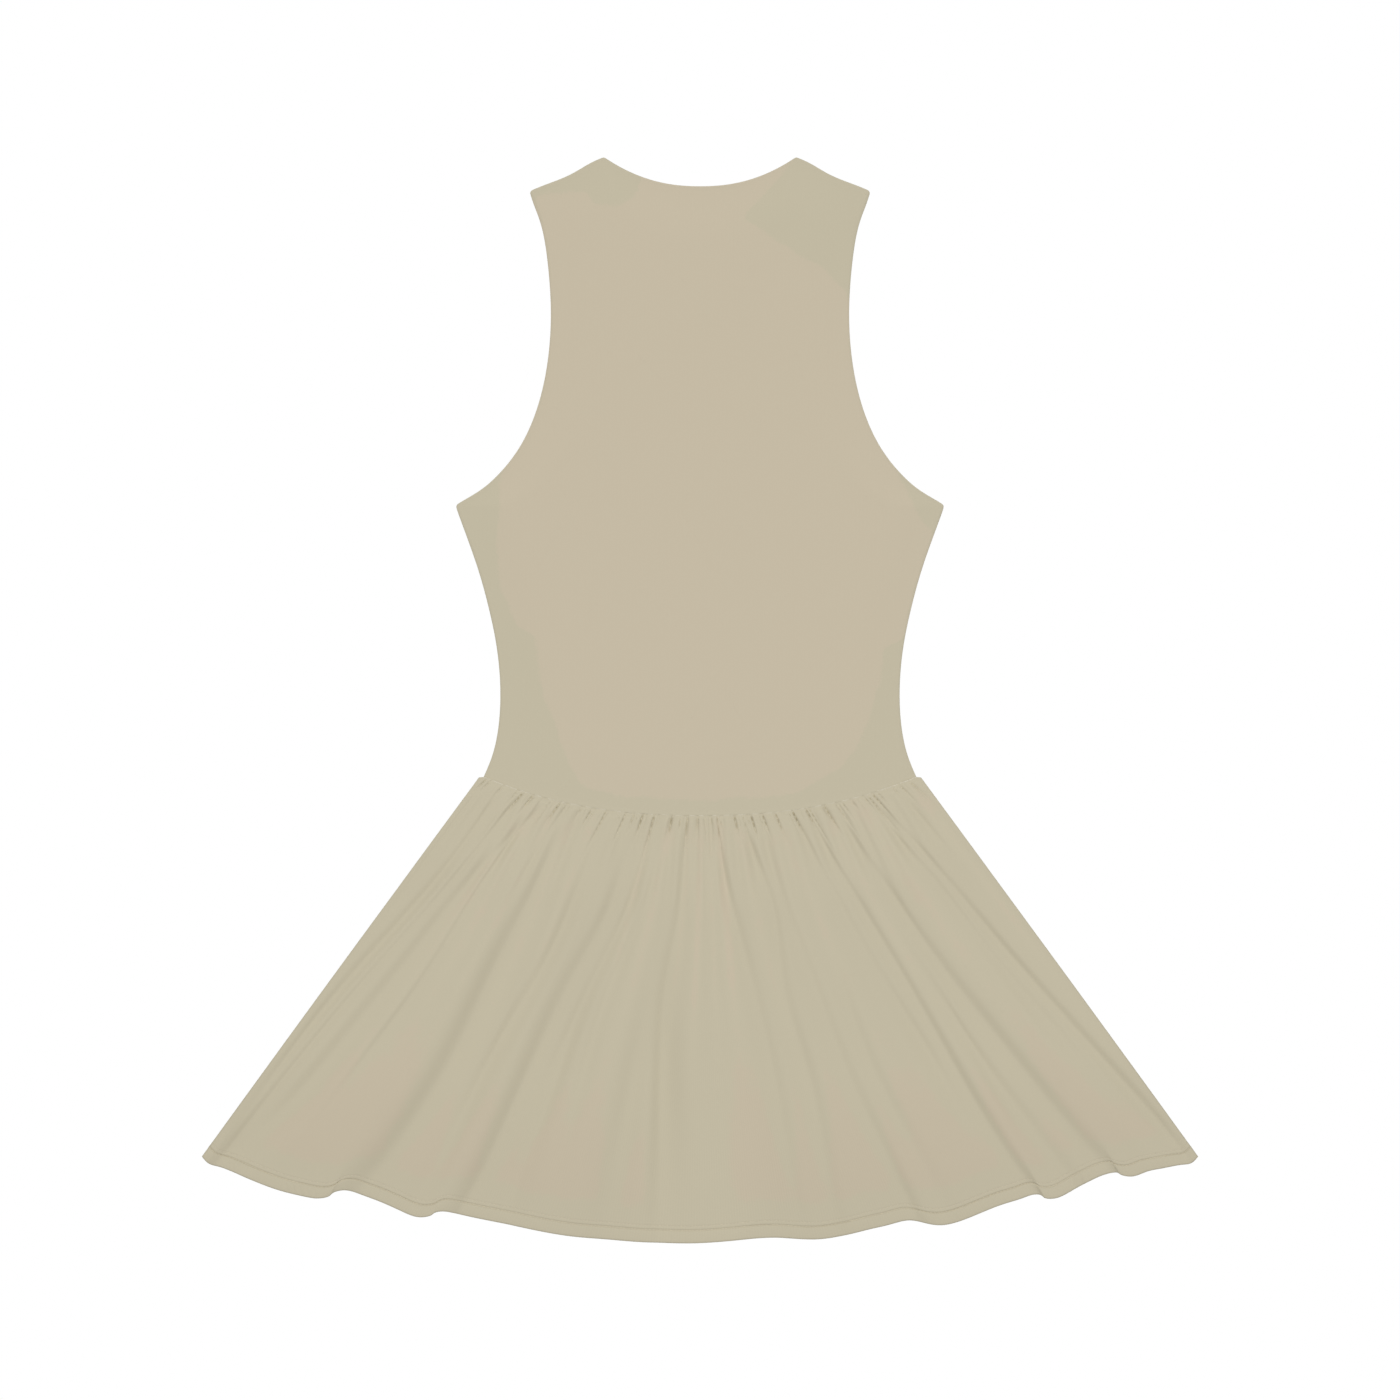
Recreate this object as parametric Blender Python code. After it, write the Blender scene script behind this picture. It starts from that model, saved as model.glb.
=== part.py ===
"""A women's knee-length dress with a front zip, lying face down and flat, seen from its back.

It is a sleeveless bodice with a dropped waist, and a gathered, flared skirt. The two front bodice panels
meet at a zip, whose pull swings on the slider. Lengths are in millimetres in the tables and functions, and
MM turns them into metres. +X is to the right with the neck up, +Y runs from the hem to the neck, and +Z
points up from the surface that the dress lies on. A "drop" is a distance down from the high point of the
shoulder, and a "half" is half a width, measured out from the centre line.
"""

import bmesh
import bpy
import numpy as np
from mathutils import Vector

MM = 0.001

# Whole dress
LENGTH = 890.7
CLOTH = 1.4
SEAM_GAP = 0.3
REST = 1.2 + SEAM_GAP

# Bodice
NECK_HALF = 78.7
BACK_NECK_DROP = 23.8
FRONT_NECK_DROP = 90.0
NECK_POWER = 2.25
SHOULDER_TIP_HALF = 139.4
SHOULDER_TIP_DROP = 28.7
UNDERARM_DROP = 287.0
UNDERARM_HALF = 200.1
SEAM_HALF = 177.5
SEAM_CORNER_DROP = 508.4
SEAM_CENTRE_DIP = 31.6
SEAM_POWER = 2.3
BODICE_CROWN = 2.9
SEAM_CROWN = 1.9
CROWN_REACH = 45.0

# Half width across and drop at the shoulder line
SHOULDER = [(78.7, 0.0), (90.0, 4.4), (104.0, 12.8), (117.0, 18.8), (130.0, 23.6), (139.4, 28.7)]
# Drop and half width down the armhole
ARMHOLE = [
    (28.7, 139.4), (43.5, 134.5), (60.0, 129.4), (90.0, 124.8), (130.0, 122.4), (165.0, 124.8),
    (195.0, 130.6), (224.0, 140.9), (245.0, 152.8), (262.0, 167.1), (275.0, 183.1), (287.0, 200.1),
]
# Drop and half width down the side seam
SIDE = [
    (287.0, 200.1), (298.0, 196.6), (314.0, 190.5), (330.0, 184.9), (355.0, 177.3), (380.0, 171.0),
    (405.0, 166.4), (441.0, 163.8), (478.0, 167.3), (494.0, 171.6), (508.4, 177.5),
]

# Skirt
SKIRT_TOP_HALF = 181.0
SKIRT_CORNER_DROP = 509.2
SKIRT_CORNER_SLOPE = 0.2
HEM_TIP_HALF = 408.4
HEM_TIP_DROP = 820.0
SKIRT_CROWN = 2.8
SKIRT_EDGE_REACH = 60.0
HEM_LIFT_SHARE = 0.45
GATHERS = 60
GATHER_HEIGHT = 0.8
GATHER_LENGTH = 16.0
GATHER_LENGTH_SPREAD = 10.0
GATHER_CHANGE = 1.7
GATHER_SIDE_COLUMNS = 4
# Distance across from the centre and drop, along the back's hem
HEM = [
    (-408.4, 820.0), (-400.0, 826.4), (-380.0, 833.6), (-341.0, 848.4), (-311.0, 853.2), (-297.0, 847.2),
    (-278.0, 850.9), (-246.0, 864.3), (-227.0, 869.4), (-214.0, 864.8), (-184.0, 870.3), (-123.0, 882.2),
    (-82.0, 887.1), (-10.0, 890.7), (62.0, 886.1), (103.0, 886.6), (144.0, 878.0), (164.0, 873.2),
    (205.0, 874.7), (246.0, 859.2), (278.0, 850.4), (288.0, 854.0), (304.0, 848.3), (320.0, 839.3),
    (339.0, 832.9), (352.0, 835.9), (378.0, 829.4), (399.0, 825.8), (408.4, 820.0),
]
# Front hem, which lies a little inside the back's
FRONT_INSET = 1.0
FRONT_HEM_TIP_DROP = 811.0
FRONT_HEM_DIP = 66.0
FRONT_HEM_POWER = 1.6

# Long folds of the back skirt. Places are shares of the half width at the seam, one third down, two thirds
# down and the hem. Width is the half width of the hollow there in mm at the hem, and depth its share.
FOLDS = [
    # (seam, third, two_thirds, hem), width, (depth at the same four levels)
    ((-0.94, -0.95, -0.98, -0.98), 14, (0.4, 0.5, 0.5, 0.4)),
    ((-0.83, -0.90, -0.96, -0.96), 12, (0.7, 0.8, 0.6, 0.4)),
    ((-0.74, -0.86, -0.93, -0.95), 18, (0.3, 0.5, 0.5, 0.2)),
    ((-0.71, -0.79, -0.85, -0.88), 16, (0.3, 0.4, 0.3, 0.0)),
    ((-0.58, -0.63, -0.65, -0.73), 22, (0.6, 1.0, 1.0, 1.0)),
    ((-0.47, -0.48, -0.54, -0.60), 18, (0.4, 0.6, 0.5, 0.0)),
    ((-0.30, -0.39, -0.46, -0.53), 20, (0.5, 0.8, 1.0, 1.0)),
    ((-0.21, -0.33, -0.39, -0.43), 16, (0.5, 0.4, 0.3, 0.1)),
    ((-0.15, -0.19, -0.19, -0.22), 26, (0.0, 0.1, 0.5, 0.5)),
    ((-0.05, -0.10, -0.11, -0.09), 20, (0.8, 0.9, 0.8, 0.5)),
    ((0.08, 0.14, 0.21, 0.20), 20, (0.5, 0.7, 0.7, 0.3)),
    ((0.18, 0.26, 0.28, 0.28), 18, (0.5, 0.6, 0.6, 0.4)),
    ((0.30, 0.33, 0.38, 0.41), 22, (0.5, 0.6, 0.8, 0.8)),
    ((0.47, 0.52, 0.56, 0.58), 18, (0.5, 0.5, 0.2, 0.0)),
    ((0.51, 0.60, 0.64, 0.69), 20, (0.8, 0.9, 1.0, 1.0)),
    ((0.65, 0.70, 0.78, 0.83), 20, (0.6, 0.9, 1.0, 1.0)),
    ((0.76, 0.86, 0.91, 0.94), 16, (0.4, 0.6, 0.3, 0.0)),
    ((0.79, 0.88, 0.94, 0.98), 12, (0.7, 0.8, 0.7, 0.4)),
]
FOLD_DEPTH = 2.3
FOLD_LEVELS = (0.0, 1 / 3, 2 / 3, 1.0)
FOLD_SEAM_WIDTH_SHARE = 0.35

# Zip
ZIP_OPENING_HALF = 5.0
ZIP_TOP_DROP = 92.0
ZIP_BOTTOM_DROP = 535.0
TAPE_INNER = 1.8
TAPE_BEND = (4.5, 7.0)
TAPE_OUTER = 17.0
TAPE_THICKNESS = 1.0
CHAIN_HALF = 1.5
CHAIN_BOTTOM = 2.0
CHAIN_TOP = 3.0
SLIDER_HALF = 4.2
SLIDER_LENGTH = 9.0
OUTER_PLATE = (1.05, 1.65)
INNER_PLATE = (3.3, 3.9)
BRIDGE_HALF = 1.1
BRIDGE_LENGTH = 1.6
WELD = 0.2
PIVOT_DROP = 95.0
PIVOT_HEIGHT = 0.95
PLATE_SETBACK = 1.3
EAR_INNER = 1.1
EAR_OUTER = 2.0
EAR_RADIUS = 0.85
PIN_RADIUS = 0.3
KNUCKLE_RADIUS = 0.8
KNUCKLE_HOLE_RADIUS = 0.45
KNUCKLE_HALF = 0.9
ROUND_SIDES = 20
TAB_HALF = 2.5
TAB_NECK_LENGTH = 1.6
TAB_LENGTH = 24.0
TAB_BOTTOM = 0.15
TAB_TOP = 0.85
TAB_HOLE_RADIUS = 1.2
TAB_SHOULDER_LENGTH = 3.0

# Grid of the cloth panels
NECK_COLUMNS = 11
SHOULDER_COLUMNS = 7
ARMHOLE_ROWS = 13
ARMHOLE_ROW_POWER = 0.75
SIDE_ROWS = 11
SKIRT_ROWS = [0, 4, 9, 16, 26, 40, 58, 80, 104, 130, 158, 186, 214, 242, 268, 292, 310, 324, 334]
ARC_STEPS = 16

# Colours as linear red, green and blue
CLOTH_COLOUR = (0.56, 0.49, 0.37)
TAPE_COLOUR = (0.50, 0.43, 0.32)
METAL_COLOUR = (0.62, 0.58, 0.50)


def clear_scene():
    for thing in list(bpy.data.objects):
        bpy.data.objects.remove(thing)


def material(name, colour, roughness, metallic):
    """One Principled material with plain values."""
    made = bpy.data.materials.new(name)
    made.use_nodes = True
    principled = made.node_tree.nodes["Principled BSDF"]
    principled.inputs["Base Color"].default_value = (*colour, 1.0)
    principled.inputs["Roughness"].default_value = roughness
    principled.inputs["Metallic"].default_value = metallic
    return made


def curve_through(stations, at):
    """The smooth curve through a table's rows, each row's slope being the mean of its neighbours'."""
    place, value = np.array(stations, float).T
    slope = np.gradient(value, place)
    at = np.clip(np.asarray(at, float), place[0], place[-1])
    i = np.clip(np.searchsorted(place, at, side="right") - 1, 0, len(place) - 2)
    step = place[i + 1] - place[i]
    q = (at - place[i]) / step
    start = (1 + 2 * q) * (1 - q) ** 2 * value[i] + q * (1 - q) ** 2 * step * slope[i]
    end = q**2 * (3 - 2 * q) * value[i + 1] + q**2 * (q - 1) * step * slope[i + 1]
    return start + end


def rise(share):
    """A smooth step from 0 to 1 as the share runs from 0 to 1."""
    q = np.clip(share, 0.0, 1.0)
    return q * q * (3 - 2 * q)


def top_drop(half):
    """The back's top edge: the neckline inside the neck's half width, and the shoulder outside it."""
    neck = BACK_NECK_DROP * (1 - np.minimum(half / NECK_HALF, 1.0) ** NECK_POWER)
    return np.where(half < NECK_HALF, neck, curve_through(SHOULDER, half))


def seam_drop(half):
    """The dropped waist seam, which dips towards the centre."""
    return SEAM_CORNER_DROP + SEAM_CENTRE_DIP * (1 - np.minimum(half / SEAM_HALF, 1.0) ** SEAM_POWER)


def bodice_half(drop):
    """The bodice's outline: the armhole above the underarm, and the side seam below it."""
    return np.where(drop < UNDERARM_DROP, curve_through(ARMHOLE, drop), curve_through(SIDE, drop))


def place(x, drop, z):
    """Points in metres in the dress's frame, from sizes in millimetres."""
    return np.stack([x * MM, (LENGTH / 2 - drop) * MM, z * MM], axis=-1)


def object_of(name, bm, look):
    """A named object with its material, from a finished bmesh, with its faces turned out."""
    bmesh.ops.recalc_face_normals(bm, faces=bm.faces)
    mesh = bpy.data.meshes.new(name)
    bm.to_mesh(mesh)
    bm.free()
    mesh.materials.append(look)
    made = bpy.data.objects.new(name, mesh)
    bpy.context.scene.collection.objects.link(made)
    return made


def thicken(bm, height):
    """Turns the sheet in a bmesh into a closed solid, by extruding it straight up."""
    grown = bmesh.ops.extrude_face_region(bm, geom=bm.faces[:])
    corners = [e for e in grown["geom"] if isinstance(e, bmesh.types.BMVert)]
    bmesh.ops.translate(bm, verts=corners, vec=Vector((0, 0, height * MM)))


def cloth_panel(name, points, look):
    """A cloth wall over a grid of points, which are its underside."""
    rows, columns = points.shape[:2]
    bm = bmesh.new()
    corners = [[bm.verts.new(p) for p in row] for row in points]
    for r in range(rows - 1):
        for c in range(columns - 1):
            a, b = corners[r][c], corners[r][c + 1]
            d, e = corners[r + 1][c], corners[r + 1][c + 1]
            bm.faces.new((a, d, e))
            bm.faces.new((a, e, b))
    thicken(bm, CLOTH)
    return object_of(name, bm, look)


def flat_panel(name, outline, thickness, look, bottom=0.0):
    """A level slab from an outline of (x, drop) points."""
    bm = bmesh.new()
    x, drop = np.array(outline, float).T
    bm.faces.new([bm.verts.new(p) for p in place(x, drop, np.full(len(x), bottom))])
    thicken(bm, thickness)
    return object_of(name, bm, look)


def bodice_back(look):
    """Rows run across from shoulder to seam, and every row is stretched to the outline's width there."""
    neck = np.linspace(0, NECK_HALF, NECK_COLUMNS + 1)
    shoulder = np.linspace(NECK_HALF, SHOULDER_TIP_HALF, SHOULDER_COLUMNS + 1)[1:]
    right = np.concatenate([neck, shoulder]) / SHOULDER_TIP_HALF
    across = np.concatenate([-right[:0:-1], right])
    armhole_share = np.linspace(0, 1, ARMHOLE_ROWS) ** ARMHOLE_ROW_POWER
    armhole = SHOULDER_TIP_DROP + (UNDERARM_DROP - SHOULDER_TIP_DROP) * armhole_share
    side = np.linspace(UNDERARM_DROP, SEAM_CORNER_DROP, SIDE_ROWS)[1:]
    level = np.concatenate([armhole, side])[:, None]
    half = bodice_half(level)
    x = half * across
    down = (level - SHOULDER_TIP_DROP) / (SEAM_CORNER_DROP - SHOULDER_TIP_DROP)
    top = top_drop(np.abs(across) * SHOULDER_TIP_HALF)
    seam = seam_drop(np.abs(across) * SEAM_HALF)
    drop = level + (top - SHOULDER_TIP_DROP) * (1 - down) + (seam - SEAM_CORNER_DROP) * down
    from_side = rise((half - np.abs(x)) / CROWN_REACH)
    from_top = rise((drop - top) / CROWN_REACH)
    near_seam = rise(1 - (seam - drop) / CROWN_REACH)
    crown = BODICE_CROWN + (SEAM_CROWN - BODICE_CROWN) * near_seam
    return cloth_panel("bodice_back", place(x, drop, REST + crown * from_side * from_top), look)


def fold_hollows(across, down, half):
    """The depth of the long folds at places on the skirt, as smooth hollows along their paths."""
    hollow = np.zeros(np.broadcast(across, down).shape)
    for path, width, depth in FOLDS:
        centre = curve_through(list(zip(FOLD_LEVELS, path)), down)
        deep = np.interp(down, FOLD_LEVELS, depth)
        spread = width * (FOLD_SEAM_WIDTH_SHARE + (1 - FOLD_SEAM_WIDTH_SHARE) * down)
        hollow = hollow + deep * np.exp(-(((across - centre) * half / spread) ** 2))
    return FOLD_DEPTH * np.minimum(hollow, 1.0)


def gather_waves(count, below_seam):
    """Small up-and-down gathers at the seam, one to each pair of grid columns, fading down the skirt."""
    column = np.arange(count)
    length = GATHER_LENGTH + GATHER_LENGTH_SPREAD * np.sin(GATHER_CHANGE * (column // 2))
    side_fade = rise(np.minimum(column, column[::-1]) / GATHER_SIDE_COLUMNS)
    return GATHER_HEIGHT * (-1.0) ** column * side_fade * np.exp(-below_seam / length)


def skirt_back(look):
    """Columns run straight from the seam to the hem and fan out, so the sides are straight."""
    across = np.linspace(-1, 1, 2 * GATHERS + 1)
    down = np.array(SKIRT_ROWS, float)[:, None] / SKIRT_ROWS[-1]
    top_half = np.abs(across) * SKIRT_TOP_HALF
    top = seam_drop(top_half) + SEAM_GAP + SKIRT_CORNER_SLOPE * np.maximum(top_half - SEAM_HALF, 0)
    hem = curve_through(HEM, across * HEM_TIP_HALF)
    half = SKIRT_TOP_HALF + (HEM_TIP_HALF - SKIRT_TOP_HALF) * down
    x = half * across
    drop = top + (hem - top) * down
    from_side = rise((half - np.abs(x)) / SKIRT_EDGE_REACH)
    near_hem = rise(1 - (hem - drop) / SKIRT_EDGE_REACH)
    near_seam = rise(1 - (drop - top) / CROWN_REACH)
    crown = SKIRT_CROWN + (SEAM_CROWN - SKIRT_CROWN) * near_seam
    crown = crown * (1 - (1 - HEM_LIFT_SHARE) * near_hem)
    folded = crown - fold_hollows(across, down, half) * (1 - near_seam)
    lift = np.maximum(folded, 0.0) * from_side
    lift = lift + gather_waves(len(across), drop - top) * from_side
    return cloth_panel("skirt_back", place(x, drop, REST + np.maximum(lift, 0.0)), look)


def bodice_front(name, side, look):
    """One front panel: neckline, shoulder, armhole, side seam, waist seam and the edge along the zip."""
    neck_x = np.linspace(ZIP_OPENING_HALF, NECK_HALF, ARC_STEPS)
    reach = (neck_x - ZIP_OPENING_HALF) / (NECK_HALF - ZIP_OPENING_HALF)
    neck_drop = FRONT_NECK_DROP * np.sqrt(1 - reach**2) + FRONT_INSET
    shoulder_x = np.linspace(NECK_HALF, SHOULDER_TIP_HALF - FRONT_INSET, ARC_STEPS // 2)[1:]
    arm = np.linspace(SHOULDER_TIP_DROP + 2 * FRONT_INSET, UNDERARM_DROP + FRONT_INSET, ARC_STEPS)
    flank = np.linspace(UNDERARM_DROP + 2 * FRONT_INSET, SEAM_CORNER_DROP - FRONT_INSET, ARC_STEPS)
    waist_x = np.linspace(SEAM_HALF - FRONT_INSET, ZIP_OPENING_HALF, ARC_STEPS)
    outline = list(zip(neck_x, neck_drop))
    outline += list(zip(shoulder_x, curve_through(SHOULDER, shoulder_x) + FRONT_INSET))
    outline += list(zip(bodice_half(arm) - FRONT_INSET, arm))
    outline += list(zip(bodice_half(flank) - FRONT_INSET, flank))
    outline += list(zip(waist_x, seam_drop(waist_x)))
    return flat_panel(name, [(side * x, drop) for x, drop in outline], REST - SEAM_GAP, look)


def skirt_front(look):
    """The front skirt lies flat on the surface, just inside the back's outline."""
    slope = (HEM_TIP_HALF - SKIRT_TOP_HALF) / (HEM_TIP_DROP - SKIRT_CORNER_DROP)
    top_half = SKIRT_TOP_HALF - 2 * FRONT_INSET
    tip_half = HEM_TIP_HALF - 2 * FRONT_INSET - slope * (HEM_TIP_DROP - FRONT_HEM_TIP_DROP)
    top_x = np.linspace(-top_half, top_half, 2 * ARC_STEPS)
    hem_x = np.linspace(tip_half, -tip_half, 3 * ARC_STEPS)
    hem_drop = FRONT_HEM_TIP_DROP + FRONT_HEM_DIP * (1 - (np.abs(hem_x) / tip_half) ** FRONT_HEM_POWER)
    outline = list(zip(top_x, seam_drop(np.abs(top_x)) + SEAM_GAP))
    outline += list(zip(hem_x, hem_drop))
    return flat_panel("skirt_front", outline, REST - SEAM_GAP, look)


def bar_along_y(name, section, top_drop_at, bottom_drop_at, look):
    """A bar of a given (x, z) section that runs down the centre front."""
    bm = bmesh.new()
    x, z = np.array(section, float).T
    bm.faces.new([bm.verts.new(p) for p in place(x, np.full(len(x), top_drop_at), z)])
    grown = bmesh.ops.extrude_face_region(bm, geom=bm.faces[:])
    corners = [e for e in grown["geom"] if isinstance(e, bmesh.types.BMVert)]
    bmesh.ops.translate(bm, verts=corners, vec=Vector((0, (top_drop_at - bottom_drop_at) * MM, 0)))
    return object_of(name, bm, look)


def zip_tape(name, side, look):
    """Tape section: level beside the chain, then a bend down to lie on the front panel."""
    inner, outer = TAPE_BEND
    section = [(TAPE_INNER, CHAIN_BOTTOM), (inner, CHAIN_BOTTOM), (outer, REST), (TAPE_OUTER, REST)]
    section += [(x, z + TAPE_THICKNESS) for x, z in section[::-1]]
    return bar_along_y(name, [(side * x, z) for x, z in section], ZIP_TOP_DROP, ZIP_BOTTOM_DROP, look)


def zip_chain(look):
    top = PIVOT_DROP + PLATE_SETBACK + BRIDGE_LENGTH + SEAM_GAP
    section = [
        (-CHAIN_HALF, CHAIN_BOTTOM), (CHAIN_HALF, CHAIN_BOTTOM), (CHAIN_HALF, CHAIN_TOP), (-CHAIN_HALF, CHAIN_TOP),
    ]
    return bar_along_y("zip_chain", section, top, ZIP_BOTTOM_DROP, look)


def box(x_range, drop_range, z_range):
    """A box as its own mesh object, for joining to others."""
    bm = bmesh.new()
    x0, x1 = x_range
    drop0, drop1 = drop_range
    z0, z1 = z_range
    x, drop = np.array([(x0, drop0), (x1, drop0), (x1, drop1), (x0, drop1)], float).T
    bm.faces.new([bm.verts.new(p) for p in place(x, drop, np.full(4, z0))])
    thicken(bm, z1 - z0)
    return object_of("box", bm, bpy.data.materials[0])


def rod(half, radius, name="rod"):
    """A round bar along X on the pull's axis."""
    bm = bmesh.new()
    angle = np.linspace(0, 2 * np.pi, ROUND_SIDES, endpoint=False)
    drop = PIVOT_DROP + radius * np.cos(angle)
    z = PIVOT_HEIGHT + radius * np.sin(angle)
    bm.faces.new([bm.verts.new(p) for p in place(np.full(ROUND_SIDES, -half), drop, z)])
    grown = bmesh.ops.extrude_face_region(bm, geom=bm.faces[:])
    corners = [e for e in grown["geom"] if isinstance(e, bmesh.types.BMVert)]
    bmesh.ops.translate(bm, verts=corners, vec=Vector((2 * half * MM, 0, 0)))
    return object_of(name, bm, bpy.data.materials[0])


def combine(target, others, operation):
    """Applies one Boolean after another to the target and removes the other objects."""
    for other in others:
        cut = target.modifiers.new("combine", "BOOLEAN")
        cut.operation = operation
        cut.object = other
        graph = bpy.context.evaluated_depsgraph_get()
        mesh = bpy.data.meshes.new_from_object(target.evaluated_get(graph))
        target.modifiers.clear()
        target.data = mesh
        bpy.data.objects.remove(other)


def finish_hard_piece(piece, name, look):
    piece.name = name
    piece.data.name = name
    piece.data.materials.clear()
    piece.data.materials.append(look)
    return piece


def zip_slider(look):
    """Two plates joined by a bridge above the chain's end, with two ears that hold the pull's pin."""
    plate_top = PIVOT_DROP + PLATE_SETBACK
    plate_end = plate_top + SLIDER_LENGTH
    slider = box((-SLIDER_HALF, SLIDER_HALF), (plate_top, plate_end), OUTER_PLATE)
    inner = box((-SLIDER_HALF, SLIDER_HALF), (plate_top, plate_end), INNER_PLATE)
    bridge_height = (OUTER_PLATE[0] + WELD, INNER_PLATE[1] - WELD)
    bridge = box((-BRIDGE_HALF, BRIDGE_HALF), (plate_top, plate_top + BRIDGE_LENGTH), bridge_height)
    ears = []
    for side in (-1, 1):
        span = sorted((side * EAR_INNER, side * EAR_OUTER))
        height = (PIVOT_HEIGHT - EAR_RADIUS + WELD, OUTER_PLATE[1] - WELD / 2)
        ears.append(box(span, (PIVOT_DROP - EAR_RADIUS, plate_top + 2 * WELD), height))
    pin = rod((EAR_INNER + EAR_OUTER) / 2, PIN_RADIUS)
    combine(slider, [bridge, inner, *ears, pin], "UNION")
    return finish_hard_piece(slider, "zip_slider", look)


def zip_pull(look):
    """A flat tab that hangs from a knuckle on the slider's pin, with a hole near its end."""
    neck_end = PIVOT_DROP + TAB_NECK_LENGTH
    tab_end = PIVOT_DROP + TAB_LENGTH
    pull = rod(KNUCKLE_HALF, KNUCKLE_RADIUS, "pull")
    neck = box((-KNUCKLE_HALF, KNUCKLE_HALF), (PIVOT_DROP, neck_end + 2 * WELD), (TAB_BOTTOM, TAB_TOP))
    shoulders = np.linspace(0, np.pi, ARC_STEPS)
    end_x = TAB_HALF * np.cos(shoulders)
    end_drop = tab_end - TAB_HALF + TAB_HALF * np.sin(shoulders)
    outline = [(-KNUCKLE_HALF, neck_end), (KNUCKLE_HALF, neck_end), (TAB_HALF, neck_end + TAB_SHOULDER_LENGTH)]
    outline += list(zip(end_x, end_drop)) + [(-TAB_HALF, neck_end + TAB_SHOULDER_LENGTH)]
    blade = flat_panel("blade", outline, TAB_TOP - TAB_BOTTOM, look, TAB_BOTTOM)
    combine(pull, [neck, blade], "UNION")
    hole_centre = tab_end - 2 * TAB_HALF
    angle = np.linspace(0, 2 * np.pi, ROUND_SIDES, endpoint=False)
    round_x = TAB_HOLE_RADIUS * np.cos(angle)
    round_drop = hole_centre + TAB_HOLE_RADIUS * np.sin(angle)
    hole = flat_panel("hole", list(zip(round_x, round_drop)), 3 * TAB_TOP, look, TAB_BOTTOM - TAB_TOP)
    bore = rod(2 * KNUCKLE_HALF, KNUCKLE_HOLE_RADIUS)
    combine(pull, [hole, bore], "DIFFERENCE")
    finish_hard_piece(pull, "zip_pull", look)
    axis = Vector((0, (LENGTH / 2 - PIVOT_DROP) * MM, PIVOT_HEIGHT * MM))
    for corner in pull.data.vertices:
        corner.co -= axis
    pull.location = axis
    return pull


def build():
    clear_scene()
    bodice_cloth = material("bodice_cloth", CLOTH_COLOUR, 0.9, 0.0)
    skirt_cloth = material("skirt_cloth", CLOTH_COLOUR, 0.9, 0.0)
    tape = material("zip_tape_cloth", TAPE_COLOUR, 0.85, 0.0)
    teeth = material("zip_teeth", TAPE_COLOUR, 0.5, 0.0)
    metal = material("zip_metal", METAL_COLOUR, 0.35, 0.9)
    bodice_back(bodice_cloth)
    skirt_back(skirt_cloth)
    bodice_front("bodice_front_left", -1, bodice_cloth)
    bodice_front("bodice_front_right", 1, bodice_cloth)
    skirt_front(skirt_cloth)
    zip_tape("zip_tape_left", -1, tape)
    zip_tape("zip_tape_right", 1, tape)
    zip_chain(teeth)
    zip_slider(metal)
    zip_pull(metal)


build()
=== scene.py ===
"""A zip-front dress in beige jersey, laid flat with its back up and photographed from straight above.

Sizes are in millimetres, and MM turns them into metres. A drop is a distance down from the high point of
the shoulder, a half is half a width, and a share runs from -1 at the left edge to 1 at the right edge.
"""

import bpy
import numpy as np
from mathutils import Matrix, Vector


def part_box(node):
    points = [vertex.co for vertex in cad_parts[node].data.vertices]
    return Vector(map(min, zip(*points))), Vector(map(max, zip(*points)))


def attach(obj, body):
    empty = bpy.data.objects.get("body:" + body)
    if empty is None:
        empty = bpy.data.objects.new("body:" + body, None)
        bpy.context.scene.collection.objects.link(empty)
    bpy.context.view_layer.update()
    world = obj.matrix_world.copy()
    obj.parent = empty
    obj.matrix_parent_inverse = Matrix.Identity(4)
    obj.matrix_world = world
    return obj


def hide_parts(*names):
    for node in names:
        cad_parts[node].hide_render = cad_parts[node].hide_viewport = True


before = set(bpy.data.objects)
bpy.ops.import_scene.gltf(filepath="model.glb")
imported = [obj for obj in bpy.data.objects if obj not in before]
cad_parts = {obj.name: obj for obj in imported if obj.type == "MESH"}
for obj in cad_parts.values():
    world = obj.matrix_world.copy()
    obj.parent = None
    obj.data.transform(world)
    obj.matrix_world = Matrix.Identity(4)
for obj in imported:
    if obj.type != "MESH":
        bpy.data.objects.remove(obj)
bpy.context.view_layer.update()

MM = 0.001

# Places that the frame gives
SHOULDER_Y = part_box("bodice_back")[1][1] / MM
HEM_TIP_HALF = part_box("skirt_back")[1][0] / MM
FRONT_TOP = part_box("skirt_front")[1][2] / MM
ZIP_CHAIN_LOW, ZIP_CHAIN_HIGH = (np.array(corner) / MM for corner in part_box("zip_chain"))
ZIP_TAPE_LOW, ZIP_TAPE_HIGH = (np.array(corner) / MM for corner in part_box("zip_tape_right"))

# Cloth
CLOTH = 1.1
THINNEST = 0.2
LAYER_GAP = 0.3
REST = FRONT_TOP + LAYER_GAP + CLOTH
SHARP_EDGE = np.radians(62)
EDGE_ROLL = 1.6
EDGE_ROLL_DROP = 0.9
FRONT_UNDERSIDE = 0.2

# Bodice outline
NECK_HALF = 78.7
BACK_NECK_DROP = 23.8
FRONT_NECK_DROP = 90.0
NECK_POWER = 2.25
SHOULDER_TIP_HALF = 139.4
SHOULDER_TIP_DROP = 28.7
UNDERARM_DROP = 285.3
SEAM_HALF = 177.5
SEAM_CORNER_DROP = 508.4
SEAM_CENTRE_DIP = 31.6
SEAM_POWER = 2.3
# Half width across and drop at the shoulder line
SHOULDER = [(78.7, -0.3), (90, 4.7), (104, 12.8), (117, 18.7), (130, 23.6), (139.4, 27.5)]
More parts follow.
